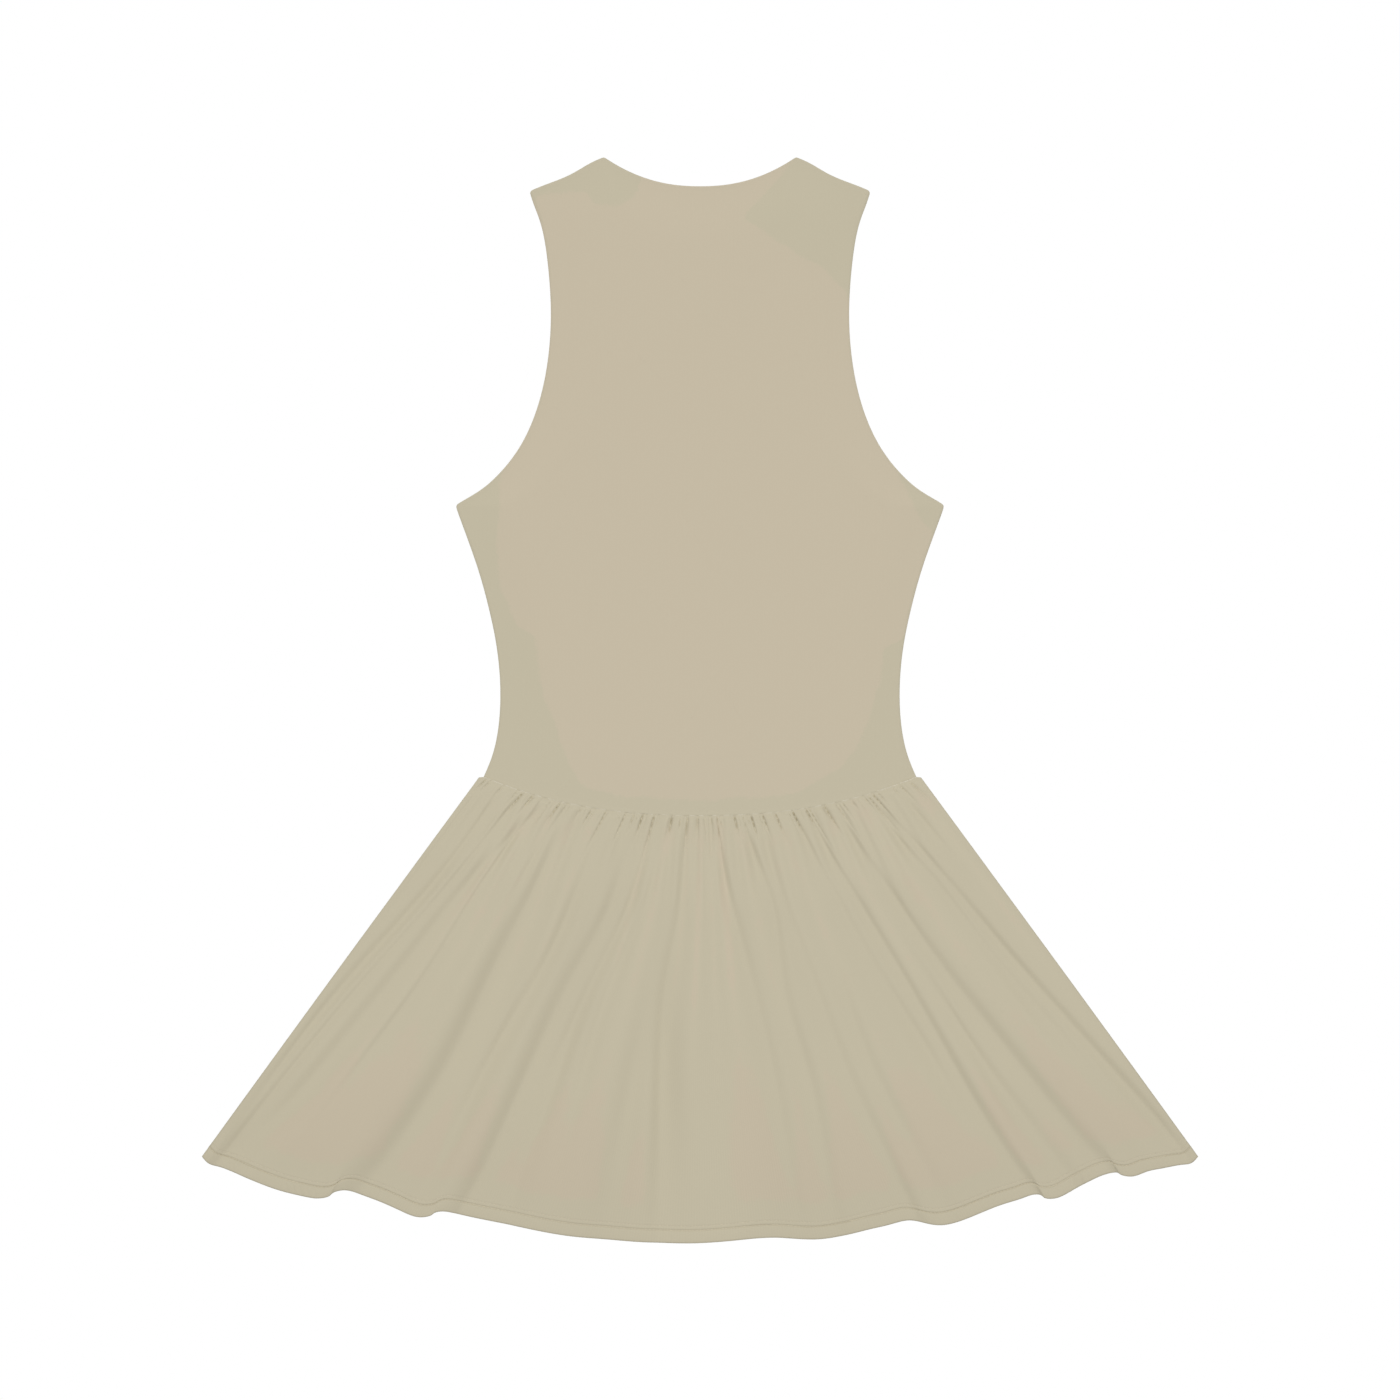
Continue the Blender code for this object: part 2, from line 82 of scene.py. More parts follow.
# Drop and half width down the armhole
ARMHOLE = [
    (28.7, 139.7), (38, 136.7), (50, 132.2), (60, 129.3), (84, 125.3), (108, 123.1),
    (132, 122.4), (160, 124.1), (192, 129.7), (216, 137.3), (240, 149.4), (262, 167.2),
    (274, 181.6), (285.3, 201.2),
]
# Drop and half width down the side seam
SIDE = [
    (285.3, 201.2), (298, 196.4), (312, 191.2), (340, 181.5), (368, 173.8), (396, 167.8),
    (424, 164.4), (441, 163.8), (466, 165.2), (494, 171.5), (508.4, 177.5),
]
CORNER_ROUND = 2.0
CORNER_BLEND = 0.8
SHOULDER_START_SLOPE = 0.35
UNDERARM_BLEND = 3.5
UNDERARM_SLOPES = (1.9, 0.375)
BODICE_CROWN = 2.7
SEAM_CROWN = 2.2
CROWN_REACH = 45.0
EDGE_LIFT = 0.25
# A faint swell over the back: its height, and how fast it runs across and down
SWELL = 0.12
SWELL_ACROSS = 47.0
SWELL_DOWN = 61.0
# Steps of a grid: the smallest, at both ends, the largest, and how they grow
NECK_STEPS = (0.5, 3.0, 0.1)
SHOULDER_STEPS = (0.35, 3.0, 0.1)
BODICE_ROW_STEPS = (0.45, 4.0, 0.08)

# Skirt outline: distance across from the centre and drop, along the back's hem
SKIRT_TOP_HALF = 182.0
SKIRT_CORNER_SLOPE = 0.1
SKIRT_CORNER_ROUND = 1.3
SKIRT_SIDE_BOW = 0.6
HEM = [
    (-408.4, 819.6), (-404.5, 824.2), (-396, 828), (-375, 835.5), (-345, 847), (-324, 852.1),
    (-308, 852.8), (-299, 849), (-294, 847.4), (-280, 850.5), (-262, 857.2), (-246, 864.2),
    (-228, 869.3), (-220, 867.1), (-213, 864.7), (-202, 866.2), (-185, 870.2), (-150, 877.1),
    (-110, 884.2), (-76, 887.5), (-10, 890.6), (28, 888.2), (64, 885.9), (84, 887.3),
    (108, 886.1), (140, 878.7), (156, 875), (171, 872), (184, 874), (198, 875.6),
    (220, 869.7), (250, 858), (266, 853.1), (277, 850.9), (282, 852.8), (289, 853.9),
    (304, 848.1), (324, 837.5), (335, 833.4), (341, 832.7), (347, 834.6), (354, 835.6),
    (366, 831.7), (378, 829.2), (397, 826.2), (404.5, 824), (408.4, 819.6),
]
SKIRT_CROWN = 7.6
SKIRT_EDGE_REACH = 40.0
SIDE_LIFT_SHARE = 0.55
HEM_FALL_REACH = 50.0
SKIRT_RISE_REACH = 80.0
HEM_LIFT_SHARE = 0.75
FAN_DRIFT = 0.15
SKIRT_NOMINAL_LENGTH = 360.0
# What a distance across counts for, measured square to the slanting side
SIDE_LEAN = 0.81
# Half the skirt's flat width at its top, in metres
SKIRT_FLAT_TOP_HALF = 0.284
SKIRT_COLUMN_STEPS = (0.0006, 0.0015, 0.03)
SKIRT_ROW_STEPS = (0.4, 5.8, 0.055)

# Long folds of the back skirt, from its left edge to its right. A path is the place of the fold's steep
# wall, as a share of the half width at six levels from the seam to the hem. Widths are those of its outer
# and inner side at the hem. Depths are at the same six levels. Ridge is the outer lobe's height as a share
# of the depth.
FOLD_LEVELS = (0.0, 0.2, 0.4, 0.6, 0.8, 1.0)
FOLDS = [
    # path, outer width, inner width, depths, ridge
    ((-0.965, -0.980, -0.985, -0.990, -0.990, -0.990), 4, 6, (1.2, 0.6, 0.0, 0.0, 0.0, 0.0), 0.2),
    ((-0.895, -0.910, -0.950, -0.980, -0.990, -0.995), 7, 10, (1.9, 2.0, 2.2, 2.5, 2.6, 0.6), 0.1),
    ((-0.810, -0.860, -0.910, -0.945, -0.965, -0.980), 4, 9, (0.7, 1.0, 1.2, 2.0, 2.2, 1.0), 0.4),
    ((-0.695, -0.815, -0.865, -0.900, -0.930, -0.980), 11, 15, (1.5, 2.0, 2.7, 3.8, 5.0, 2.2), 0.1),
    ((-0.700, -0.770, -0.790, -0.820, -0.850, -0.870), 4, 14, (0.6, 1.1, 0.8, 1.2, 0.4, 0.0), 0.3),
    ((-0.610, -0.655, -0.680, -0.700, -0.720, -0.740), 5, 8, (1.0, 0.5, 0.0, 0.0, 0.0, 0.0), 0.2),
    ((-0.555, -0.605, -0.630, -0.640, -0.665, -0.705), 15, 50, (1.8, 2.7, 5.2, 6.5, 7.0, 5.9), 0.1),
    ((-0.440, -0.455, -0.490, -0.540, -0.570, -0.600), 10, 16, (1.2, 2.3, 3.0, 3.4, 2.4, 1.2), 0.1),
    ((-0.340, -0.375, -0.430, -0.470, -0.500, -0.530), 8, 12, (1.0, 0.5, 0.6, 0.5, 0.0, 0.0), 0.2),
    ((-0.295, -0.325, -0.400, -0.440, -0.465, -0.490), 15, 45, (1.6, 2.9, 4.7, 7.5, 8.2, 8.0), 0.1),
    ((-0.215, -0.255, -0.330, -0.375, -0.400, -0.420), 7, 12, (1.6, 1.9, 1.8, 2.9, 2.0, 1.6), 0.1),
    ((-0.140, -0.200, -0.275, -0.305, -0.320, -0.330), 7, 10, (0.8, 0.9, 1.6, 1.7, 0.8, 0.0), 0.2),
    ((-0.160, -0.160, -0.170, -0.190, -0.205, -0.220), 16, 18, (0.0, 0.5, 1.2, 4.4, 4.0, 2.0), 0.0),
    ((-0.055, -0.080, -0.115, -0.115, -0.105, -0.100), 12, 21, (1.2, 2.4, 4.0, 7.0, 6.0, 2.8), 0.0),
    ((0.020, 0.030, 0.035, 0.035, 0.035, 0.035), 6, 6, (1.1, 0.5, 0.0, 0.0, 0.0, 0.0), 0.2),
    ((0.045, 0.065, 0.070, 0.070, 0.070, 0.070), 5, 6, (0.8, 0.3, 0.0, 0.0, 0.0, 0.0), 0.2),
    ((0.060, 0.120, 0.170, 0.200, 0.210, 0.220), 10, 16, (1.4, 2.7, 1.8, 2.6, 2.4, 1.6), 0.1),
    ((0.180, 0.265, 0.260, 0.285, 0.290, 0.290), 9, 18, (0.9, 2.4, 1.8, 2.6, 2.4, 2.0), 0.1),
    ((0.270, 0.310, 0.350, 0.380, 0.415, 0.450), 9, 15, (1.1, 1.1, 1.4, 2.2, 2.7, 3.2), 0.1),
    ((0.420, 0.420, 0.430, 0.445, 0.490, 0.520), 9, 14, (0.0, 0.0, 0.8, 1.7, 1.5, 0.8), 0.1),
    ((0.420, 0.490, 0.545, 0.590, 0.610, 0.620), 7, 14, (1.0, 1.2, 1.5, 3.4, 1.5, 0.3), 0.0),
    ((0.480, 0.550, 0.600, 0.630, 0.653, 0.682), 7, 16, (1.4, 2.0, 2.6, 3.6, 4.0, 2.6), 0.05),
    ((0.565, 0.605, 0.655, 0.700, 0.740, 0.770), 8, 14, (0.9, 0.6, 1.2, 3.2, 3.6, 2.6), 0.0),
    ((0.600, 0.665, 0.720, 0.765, 0.800, 0.835), 9, 18, (1.4, 2.0, 2.7, 3.9, 4.1, 2.7), 0.05),
    ((0.740, 0.815, 0.860, 0.900, 0.930, 0.960), 8, 12, (1.2, 2.0, 1.8, 3.2, 1.8, 0.0), 0.0),
    ((0.765, 0.855, 0.900, 0.940, 0.975, 1.005), 7, 12, (1.5, 1.5, 3.0, 3.2, 3.4, 0.9), 0.05),
    ((0.880, 0.930, 0.960, 0.980, 0.990, 1.000), 5, 7, (0.7, 0.3, 0.0, 0.0, 0.0, 0.0), 0.0),
]
FOLD_SEAM_WIDTH_SHARE = 0.3
FOLD_SEAM_DEPTH_SHARE = 0.15
FOLD_FULL_DEPTH = 26.0
STEEPEST = 0.7

# Light ridges between the folds of the upper skirt: the share at a fifth and at half of the way down, half
# the width, and the height
RIDGES = [
    (-0.78, -0.825, 7, 0.4), (-0.715, -0.74, 7, 0.4), (-0.655, -0.68, 4, 0.4), (-0.56, -0.58, 6, 0.4),
    (-0.48, -0.5, 4, 0.4), (-0.24, -0.28, 4, 0.4), (-0.165, -0.22, 6, 0.5), (-0.058, -0.085, 4, 0.4),
    (-0.005, -0.02, 4, 0.6), (0.042, 0.045, 3, 0.4), (0.09, 0.1, 5, 0.6), (0.195, 0.24, 6, 0.4),
    (0.32, 0.37, 5, 0.3), (0.39, 0.45, 6, 0.4), (0.59, 0.65, 5, 0.4), (0.74, 0.8, 8, 0.5),
    (0.955, 0.975, 5, 0.4),
]
RIDGE_LEVEL = 0.22
RIDGE_SPAN = 0.2
RIDGE_TONE_LEVEL = 0.28
RIDGE_TONE_SPAN = 0.26
RIDGE_WARMTH = 1.15
# Painted light along the ridges
RIDGE_PAINTED_LIGHT = 0.055

# Fine ripples that run down from the gathers
RIPPLE_HEIGHT = 0.55
RIPPLE_SHARE = 0.062
RIPPLE_LEVEL = 35.0
RIPPLE_SPAN = 50.0

# Laps, where the hem doubles over: the share at the hem, and how far the outer lobe laps the inner one
LAPS = [(-0.740, 1.6), (-0.536, 1.6), (0.688, 1.6), (0.840, 1.6)]
LAP_WIDTH = 6.0
LAP_HEIGHT = 0.7
LAP_START = 0.92

# Gathers. The strong ones are a share at the seam, a length and a depth as a multiple of the strong depth
STRONG_GATHERS = [
    (-0.97, 14, 1.8), (-0.804, 16, 2.4), (-0.76, 14, 1.8), (-0.638, 13, 2.4), (-0.495, 14, 1.8),
    (-0.43, 30, 1.7), (-0.343, 22, 1.7), (-0.303, 12, 1.5), (-0.264, 12, 3), (-0.211, 26, 1.9),
    (-0.131, 12, 2.8), (-0.09, 11, 1.4), (-0.059, 26, 1.4), (-0.01, 12, 1.5), (0.025, 26, 1.4),
    (0.052, 12, 1.5), (0.08, 30, 2), (0.16, 12, 1.6), (0.2, 20, 1.2), (0.236, 13, 3.4),
    (0.288, 12, 2.6), (0.346, 14, 2.6), (0.424, 14, 3.2), (0.485, 12, 1.4), (0.5, 30, 1.8),
    (0.566, 20, 2.4), (0.62, 30, 1.4), (0.646, 12, 1.4), (0.762, 30, 1.8), (0.784, 20, 2.2),
    (0.905, 13, 1.4),
]
GATHER_DRIFT = 0.0011
GATHER_LEVEL = 10.0
GATHER_PUFF = 1.6
GATHER_PUFF_START = 5.0
GATHER_PUFF_SPAN = 28.0
STRONG_GATHER_DEPTH = 0.95
STRONG_GATHER_WIDTH = 0.55
WEAK_GATHERS = 58
WEAK_GATHER_DEPTH = 1.0
WEAK_GATHER_LENGTH = 11.0
WEAK_GATHER_WIDTH = 0.8
GATHER_START = 3.5
SEAM_GAP = 0.05
SEAM_RIDGE = 0.12
SEAM_RIDGE_PLACE = 1.0
SEAM_RIDGE_WIDTH = 1.2

# Twin-needle hem
HEM_STITCH_ROWS = (10.8, 14.3)
HEM_GROOVES = ((10.7, 0.6, 0.85), (14.3, 0.5, 0.22))
HEM_ROWS_REACH = 16.2
HEM_ROW_STEP = 0.45
HEM_BAND_PUFF = 0.3
HEM_PUCKERS = [(-330, 14), (-90, 8), (140, 10), (150, 6), (315, 12), (378, 8)]
HEM_PUCKER_HEIGHT = 0.22
STITCH_LENGTH = 2.2
STITCH_PITCH = 3.0
STITCH_RADIUS = 0.24
STITCH_SIDES = 6
STITCH_RINGS = 5

# Fronts
FRONT_BODICE_STEPS = (0.004, 0.03, 0.1)
FRONT_SKIRT_COLUMN_STEPS = (0.001, 0.008, 0.05)
FRONT_SKIRT_ROW_STEPS = (0.002, 0.02, 0.06)

# Zip: the tape's bend is the distance across and the height along its lower side
TAPE_BEND = [(4.5, 2.0), (5.6, 1.8), (7.0, 1.5)]
TAPE_THICKNESS = 0.8
TOOTH_PITCH = 1.5
TOOTH_RINGS = 5
TOOTH_SIDES = 6
TOPSTITCH_PLACE = 8.0

# Colours as linear red, green and blue
COOL_BEIGE = (0.538, 0.489, 0.364)
WARM_BODICE_BEIGE = (0.564, 0.496, 0.375)
# The skirt's warm beige is the bodice's with a little painted shade in it, so the skirt's warm places are
# darker
WARM_SKIRT_BEIGE_WITH_PAINTED_SHADE = (0.549, 0.481, 0.362)
THREAD = (0.590, 0.530, 0.410)
TAPE = (0.500, 0.440, 0.330)
METAL = (0.62, 0.58, 0.50)

# Where the bodice's cloth is cooler. Sides: a drop, and the distance from the centre beyond which it is.
# Shoulders: the distance across, and the drop above which it is
COOL_LEFT_SIDE = [
    (262, 164), (320, 167), (352, 165), (370, 157), (384, 151), (393, 136), (428, 131), (447, 127),
    (465, 119), (499, 108), (514, 98), (540, 70),
]
COOL_RIGHT_SIDE = [
    (262, 163), (297, 181), (312, 197), (385, 190), (402, 152), (438, 146), (477, 133), (499, 117),
    (515, 92), (540, 50),
]
COOL_LEFT_SHOULDER = [(-140, 35), (-125, 29), (-94, 28), (-86, 38), (-66, 40), (-52, 30), (-44, 0)]
COOL_RIGHT_SHOULDER = [(35, 50), (69, 72), (100, 91), (125, 116)]
# The right shoulder's zone lies below a slanting line: a place on it across and down, and its slope
COOL_RIGHT_START = (35, 50, -1.12)
COOL_SIDE_TOP = (250, 14)
COOL_EDGE_BLUR = 14.0

# Tones of the skirt. A pair is where a smooth step starts and how far it takes. The wedges are the warm
# places low between the folds
WEDGE_START = 0.52
WEDGE_SPAN = 0.3
WEDGE_WALL_COOLING = 1.2
WEDGE_FROM_HEM = (20, 22)
WEDGE_FROM_SIDE = (5, 12)
WEDGE_CENTRE = -0.02
WEDGE_FROM_CENTRE = (0.05, 0.08)
SEAM_WARMTH = 0.27
# Painted shade towards the hem's two sides: its strength, and where it starts down and across
HEM_SIDE_PAINTED_SHADE = 0.025
HEM_SIDE_DOWN = (0.6, 0.3)
HEM_SIDE_ACROSS = (0.04, 0.16)
# Painted light over the top of the skirt, and where it fades down
TOP_PAINTED_LIGHT = 0.015
TOP_PAINTED_LIGHT_DOWN = (0.02, 0.22)

# Painted shade in thin lines beside the edges, which on the bodice are also cooler
SKIRT_EDGE_PAINTED_SHADE = 0.12
BODICE_EDGE_PAINTED_SHADE = 0.012
BODICE_EDGE_COOL = 0.55
BODICE_EDGE_PLACE = 1.5
PAINTED_EDGE_SHADE_WIDTH = 0.8

# Knit: the width of a column and the height of a row of stitches, and how they show
WALE = 1.1
COURSE = 0.8
KNIT_BASE = 1.6
GRAIN = 0.05
TONE_STEEPNESS = 3.5

# Light: strengths, and angles in degrees
LAMP_STRENGTH = 2.03
LAMP_SPREAD = 25
LAMP_TILT = -12
SURROUND_STRENGTH = 0.36


# Small tools

def rise(share):
    """A smooth step: three times the square less twice the cube, held at 0 and 1 outside."""
    q = np.clip(share, 0.0, 1.0)
    return q * q * (3 - 2 * q)


def ramp(place, start, span):
    """A smooth step that starts at a place and takes a span."""
    return rise((place - start) / span)


def bell(distance, width):
    """A bell of height 1: e to the power of minus the square of distance over width."""
    return np.exp(-((distance / width) ** 2))


def crease(distance, width):
    """A sharp crease of depth 1: e to the power of minus the distance over the width."""
    return np.exp(-np.abs(distance) / width)


def curve_through(stations, at):
    """The smooth curve through a table's rows: a cubic on each step, with the slopes at the rows solved
    so that the curvature runs through them, and is nothing at both ends."""
    place, value = np.array(stations, float).T
    step = np.diff(place)
    rise_over = np.diff(value) / step
    system = np.diag(np.r_[2 / step[0], 2 / step[:-1] + 2 / step[1:], 2 / step[-1]])
    system += np.diag(1 / step, 1) + np.diag(1 / step, -1)
    pull = 3 * rise_over / step
    slope = np.linalg.solve(system, np.r_[pull[0], pull[:-1] + pull[1:], pull[-1]])
    at = np.clip(np.asarray(at, float), place[0], place[-1])
    i = np.clip(np.searchsorted(place, at, side="right") - 1, 0, len(step) - 1)
    q = (at - place[i]) / step[i]
    start = (1 + 2 * q) * (1 - q) ** 2 * value[i] + q * (1 - q) ** 2 * step[i] * slope[i]
    end = q**2 * (3 - 2 * q) * value[i + 1] + q**2 * (q - 1) * step[i] * slope[i + 1]
    return start + end


def smaller(first, second, blend):
    """The smaller of two sizes, rounded where they meet: half of their sum less the root of their
    difference squared plus the blend squared."""
    return (first + second - np.sqrt((first - second) ** 2 + blend**2)) / 2


def graded(length, near, far, growth):
    """Marks from 0 to length whose steps grow from near at both ends, by growth for each unit of
    distance, up to far."""
    marks = [0.0]
    while marks[-1] < length:
        edge = min(marks[-1], length - marks[-1])
        marks.append(marks[-1] + min(far, near + growth * edge))
    return np.array(marks) * length / marks[-1]


def points(x, drop, z):
    """Places in metres from sizes in millimetres."""
    x, drop, z = np.broadcast_arrays(x, drop, z)
    return np.stack([x * MM, (SHOULDER_Y - drop) * MM, z * MM], axis=-1)


def grid_faces(rows, columns, start=0):
    """Four-cornered faces over a grid of points that is stored row after row."""
    corner = np.arange(rows * columns).reshape(rows, columns) + start
    around = [corner[:-1, :-1], corner[1:, :-1], corner[1:, 1:], corner[:-1, 1:]]
    return np.stack(around, axis=-1).reshape(-1, 4)


def bar_faces(bars, rings, sides, turned=False):
    """The faces of many bars of one form, whose points are stored ring after ring: four-cornered ones
    along each bar, and a cap at each end. Turned ones suit rings that run the other way round."""
    corner = np.arange(rings * sides).reshape(rings, sides)
    after = np.roll(corner, -1, axis=1)
    quads = np.stack([corner[:-1], after[:-1], after[1:], corner[1:]], axis=-1).reshape(-1, 4)
    caps = [corner[:1, ::-1], corner[-1:]]
    if turned:
        quads = np.roll(quads[:, ::-1], 1, axis=1)
        caps = [cap[:, ::-1] for cap in caps]
    offsets = np.arange(bars)[:, None, None] * rings * sides
    faces = (quads[None] + offsets).reshape(-1, 4).tolist()
    for cap in caps:
        faces += (cap[None] + offsets).reshape(-1, sides).tolist()
    return faces


def new_piece(name, vertices, faces, look, uv=None, warmth=None, shade=None):
    """A mesh object at the origin from points and faces, smooth, with an optional cloth UV map, and
    attributes for how warm its cloth is at each point and for the painted light and shade on it."""
    mesh = bpy.data.meshes.new(name)
    mesh.from_pydata(vertices.reshape(-1, 3).tolist(), [], faces)
    mesh.update()
    mesh.shade_smooth()
    mesh.set_sharp_from_angle(angle=SHARP_EDGE)
    mesh.materials.append(look)
    if uv is not None:
        corner = np.zeros(len(mesh.loops), np.int32)
        mesh.loops.foreach_get("vertex_index", corner)
        layer = mesh.uv_layers.new(name="cloth")
        layer.data.foreach_set("uv", uv.reshape(-1, 2)[corner].astype(np.float32).ravel())
    for title, value in (("warmth", warmth), ("shade", shade)):
        if value is not None:
            layer = mesh.attributes.new(title, "FLOAT", "POINT")
            layer.data.foreach_set("value", np.ravel(value).astype(np.float32))
    piece = bpy.data.objects.new(name, mesh)
    bpy.context.scene.collection.objects.link(piece)
    return piece


def normals_of(surface):
    """The upward normal at each point of a grid, from the cross of its two directions."""
    across = np.gradient(surface, axis=1)
    down = np.gradient(surface, axis=0)
    normal = np.cross(down, across)
    return normal / np.maximum(np.linalg.norm(normal, axis=-1, keepdims=True), 1e-12)


def cloth_shell(name, surface, roll, uv, warmth, shade, look, row_step, hemmed_sides=False):
    """A closed cloth wall under a grid surface. The face side is the surface less the roll at its edges,
    and the inner side is the surface moved in by the cloth's thickness, with only some of its rows. It
    stays below the lowest face row on either side of it by the thinnest that the wall may be. Hemmed sides
    turn under, so there the inner side comes down to rest on the layer below."""
    rows, columns = surface.shape[:2]
    face = surface.copy()
    face[..., 2] -= roll * MM
    kept = np.unique(np.concatenate([np.arange(0, rows, row_step), [rows - 1]]))
    inner = (surface - normals_of(surface) * CLOTH * MM)[kept]
    lowest = np.minimum.reduceat(face[..., 2], kept[:-1], axis=0)
    last_span = np.concatenate([lowest[:1], lowest])
    next_span = np.concatenate([lowest, lowest[-1:]])
    inner[..., 2] = np.minimum(inner[..., 2], np.minimum(last_span, next_span) - THINNEST * MM)
    if hemmed_sides:
        inner[:, [0, -1], 2] = (REST - CLOTH) * MM
    start = rows * columns
    faces = grid_faces(rows, columns).tolist()
    faces += grid_faces(len(kept), columns, start)[:, ::-1].tolist()
    top, low = np.arange(columns), np.arange(columns) + start
    faces += np.stack([top[:-1], top[1:], low[1:], low[:-1]], axis=-1).tolist()
    top, low = top + (rows - 1) * columns, low + (len(kept) - 1) * columns
    faces += np.stack([top[1:], top[:-1], low[:-1], low[1:]], axis=-1).tolist()
    for k in range(len(kept) - 1):
        span = np.arange(kept[k], kept[k + 1] + 1) * columns
        here, after = start + k * columns, start + (k + 1) * columns
        faces.append([here, after, *span[::-1].tolist()])
        faces.append([after + columns - 1, here + columns - 1, *(span + columns - 1).tolist()])
    vertices = np.concatenate([face.reshape(-1, 3), inner.reshape(-1, 3)])
    values = (uv[..., 0], uv[..., 1], warmth, shade)
    both = (np.concatenate([value.ravel(), value[kept].ravel()]) for value in values)
    across, along, warmth, shade = both
    return new_piece(name, vertices, faces, look, np.stack([across, along], axis=-1), warmth, shade)


def painted_edge_shade(distance, strength, place):
    """A thin line of painted shade beside a turned edge: a bell of the distance from the line's place."""
    return 1 - strength * bell(distance - place, PAINTED_EDGE_SHADE_WIDTH)


def edge_roll(distance):
    """How far the face side drops at an edge: a square of what is left of the roll's width."""
    return EDGE_ROLL_DROP * np.clip(1 - distance / EDGE_ROLL, 0, 1) ** 2


# Materials

class Nodes:
    """A short way to add linked nodes to one material."""

    def __init__(self, name):
        self.material = bpy.data.materials.new(name)
        self.material.use_nodes = True
        self.tree = self.material.node_tree
        self.shader = self.tree.nodes["Principled BSDF"]

    def add(self, kind, values=(), links=(), **settings):
        """A node with its settings, then socket values and links by socket name or number."""
        node = self.tree.nodes.new(kind)
        for key, value in settings.items():
            setattr(node, key, value)
        for socket, value in dict(values).items():
            node.inputs[socket].default_value = value
        for socket, source in dict(links).items():
            self.tree.links.new(source, node.inputs[socket])
        return node

    def math(self, operation, first, second=0.0):
        """One sum, product or wave of two numbers or sockets."""
        node = self.add("ShaderNodeMath", operation=operation)
        for number, value in enumerate((first, second)):
            if isinstance(value, bpy.types.NodeSocket):
                self.tree.links.new(value, node.inputs[number])
            else:
                node.inputs[number].default_value = value
        return node.outputs[0]

    def finish(self, values, links=()):
        """Sets and links sockets of the shader, and gives the material."""
        for socket, value in values.items():
            self.shader.inputs[socket].default_value = value
        for socket, source in dict(links).items():
            self.tree.links.new(source, self.shader.inputs[socket])
        return self.material


def jersey(name, cool, warm):
    """Matte cotton jersey: columns of small stitches that follow the cloth, in two close tones. The
    warmth attribute says where each tone lies, and noise breaks up the line between them."""
    nodes = Nodes(name)
    cloth = nodes.add("ShaderNodeUVMap", uv_map="cloth")
    split = nodes.add("ShaderNodeSeparateXYZ", links={0: cloth.outputs[0]})
    wale = nodes.math("SINE", nodes.math("MULTIPLY", split.outputs[0], 2 * np.pi / (WALE * MM)))
    lean = nodes.math("MULTIPLY", nodes.math("ABSOLUTE", wale), 1.4)
    turn = nodes.math("MULTIPLY", split.outputs[1], 2 * np.pi / (COURSE * MM))
    course = nodes.math("SINE", nodes.math("ADD", turn, lean))
    column, row = nodes.math("ADD", wale, KNIT_BASE), nodes.math("ADD", course, KNIT_BASE)
    knit = nodes.math("MULTIPLY", column, row)
    place = {"Vector": nodes.add("ShaderNodeTexCoord").outputs["Object"]}
    fuzz = nodes.add("ShaderNodeTexNoise", {"Scale": 900.0, "Detail": 3.0}, place)
    patch = nodes.add("ShaderNodeTexNoise", {"Scale": 45.0, "Detail": 6.0, "Roughness": 0.7}, place)
    warmth = nodes.add("ShaderNodeAttribute", attribute_name="warmth")
    shade = nodes.add("ShaderNodeAttribute", attribute_name="shade")
    blur = nodes.math("MULTIPLY", nodes.math("SUBTRACT", patch.outputs["Fac"], 0.5), 1.1)
    speckle = nodes.math("MULTIPLY", nodes.math("SUBTRACT", fuzz.outputs["Fac"], 0.5), 0.7)
    blur = nodes.math("ADD", blur, speckle)
    line = nodes.math("ADD", nodes.math("SUBTRACT", warmth.outputs["Fac"], 0.5), blur)
    share = nodes.math("ADD", nodes.math("MULTIPLY", line, TONE_STEEPNESS), 0.5)
    tone = nodes.add("ShaderNodeMix", data_type="RGBA", clamp_factor=True)
    tone.inputs[6].default_value = (*cool, 1)
    tone.inputs[7].default_value = (*warm, 1)
    nodes.tree.links.new(share, tone.inputs[0])
    knit_grain = nodes.math("MULTIPLY", knit, 0.12)
    grain = nodes.math("MULTIPLY", nodes.math("ADD", fuzz.outputs["Fac"], knit_grain), GRAIN)
    # The shade attribute paints light and shade into the colour
    bright = nodes.math("MULTIPLY", nodes.math("ADD", grain, 0.9595), shade.outputs["Fac"])
    colour = nodes.add("ShaderNodeVectorMath", operation="SCALE", links={0: tone.outputs[2], 3: bright})
    height = nodes.math("ADD", nodes.math("MULTIPLY", knit, 0.15), fuzz.outputs["Fac"])
    bump = nodes.add("ShaderNodeBump", {"Strength": 0.25, "Distance": 0.00012}, {"Height": height})
    links = {"Base Color": colour.outputs[0], "Normal": bump.outputs[0]}
    return nodes.finish({"Roughness": 0.92, "Specular IOR Level": 0.15}, links)


def thread_material(name, colour):
    """Spun sewing thread: a fine twist along its length."""
    nodes = Nodes(name)
    place = {"Vector": nodes.add("ShaderNodeTexCoord").outputs["Object"]}
    twist = nodes.add("ShaderNodeTexNoise", {"Scale": 2500.0, "Detail": 2.0}, place)
    shade = nodes.math("ADD", nodes.math("MULTIPLY", twist.outputs["Fac"], 0.14), 0.93)
    shaded = nodes.add("ShaderNodeVectorMath", {0: colour}, {3: shade}, operation="SCALE")
    return nodes.finish({"Roughness": 0.7}, {"Base Color": shaded.outputs[0]})


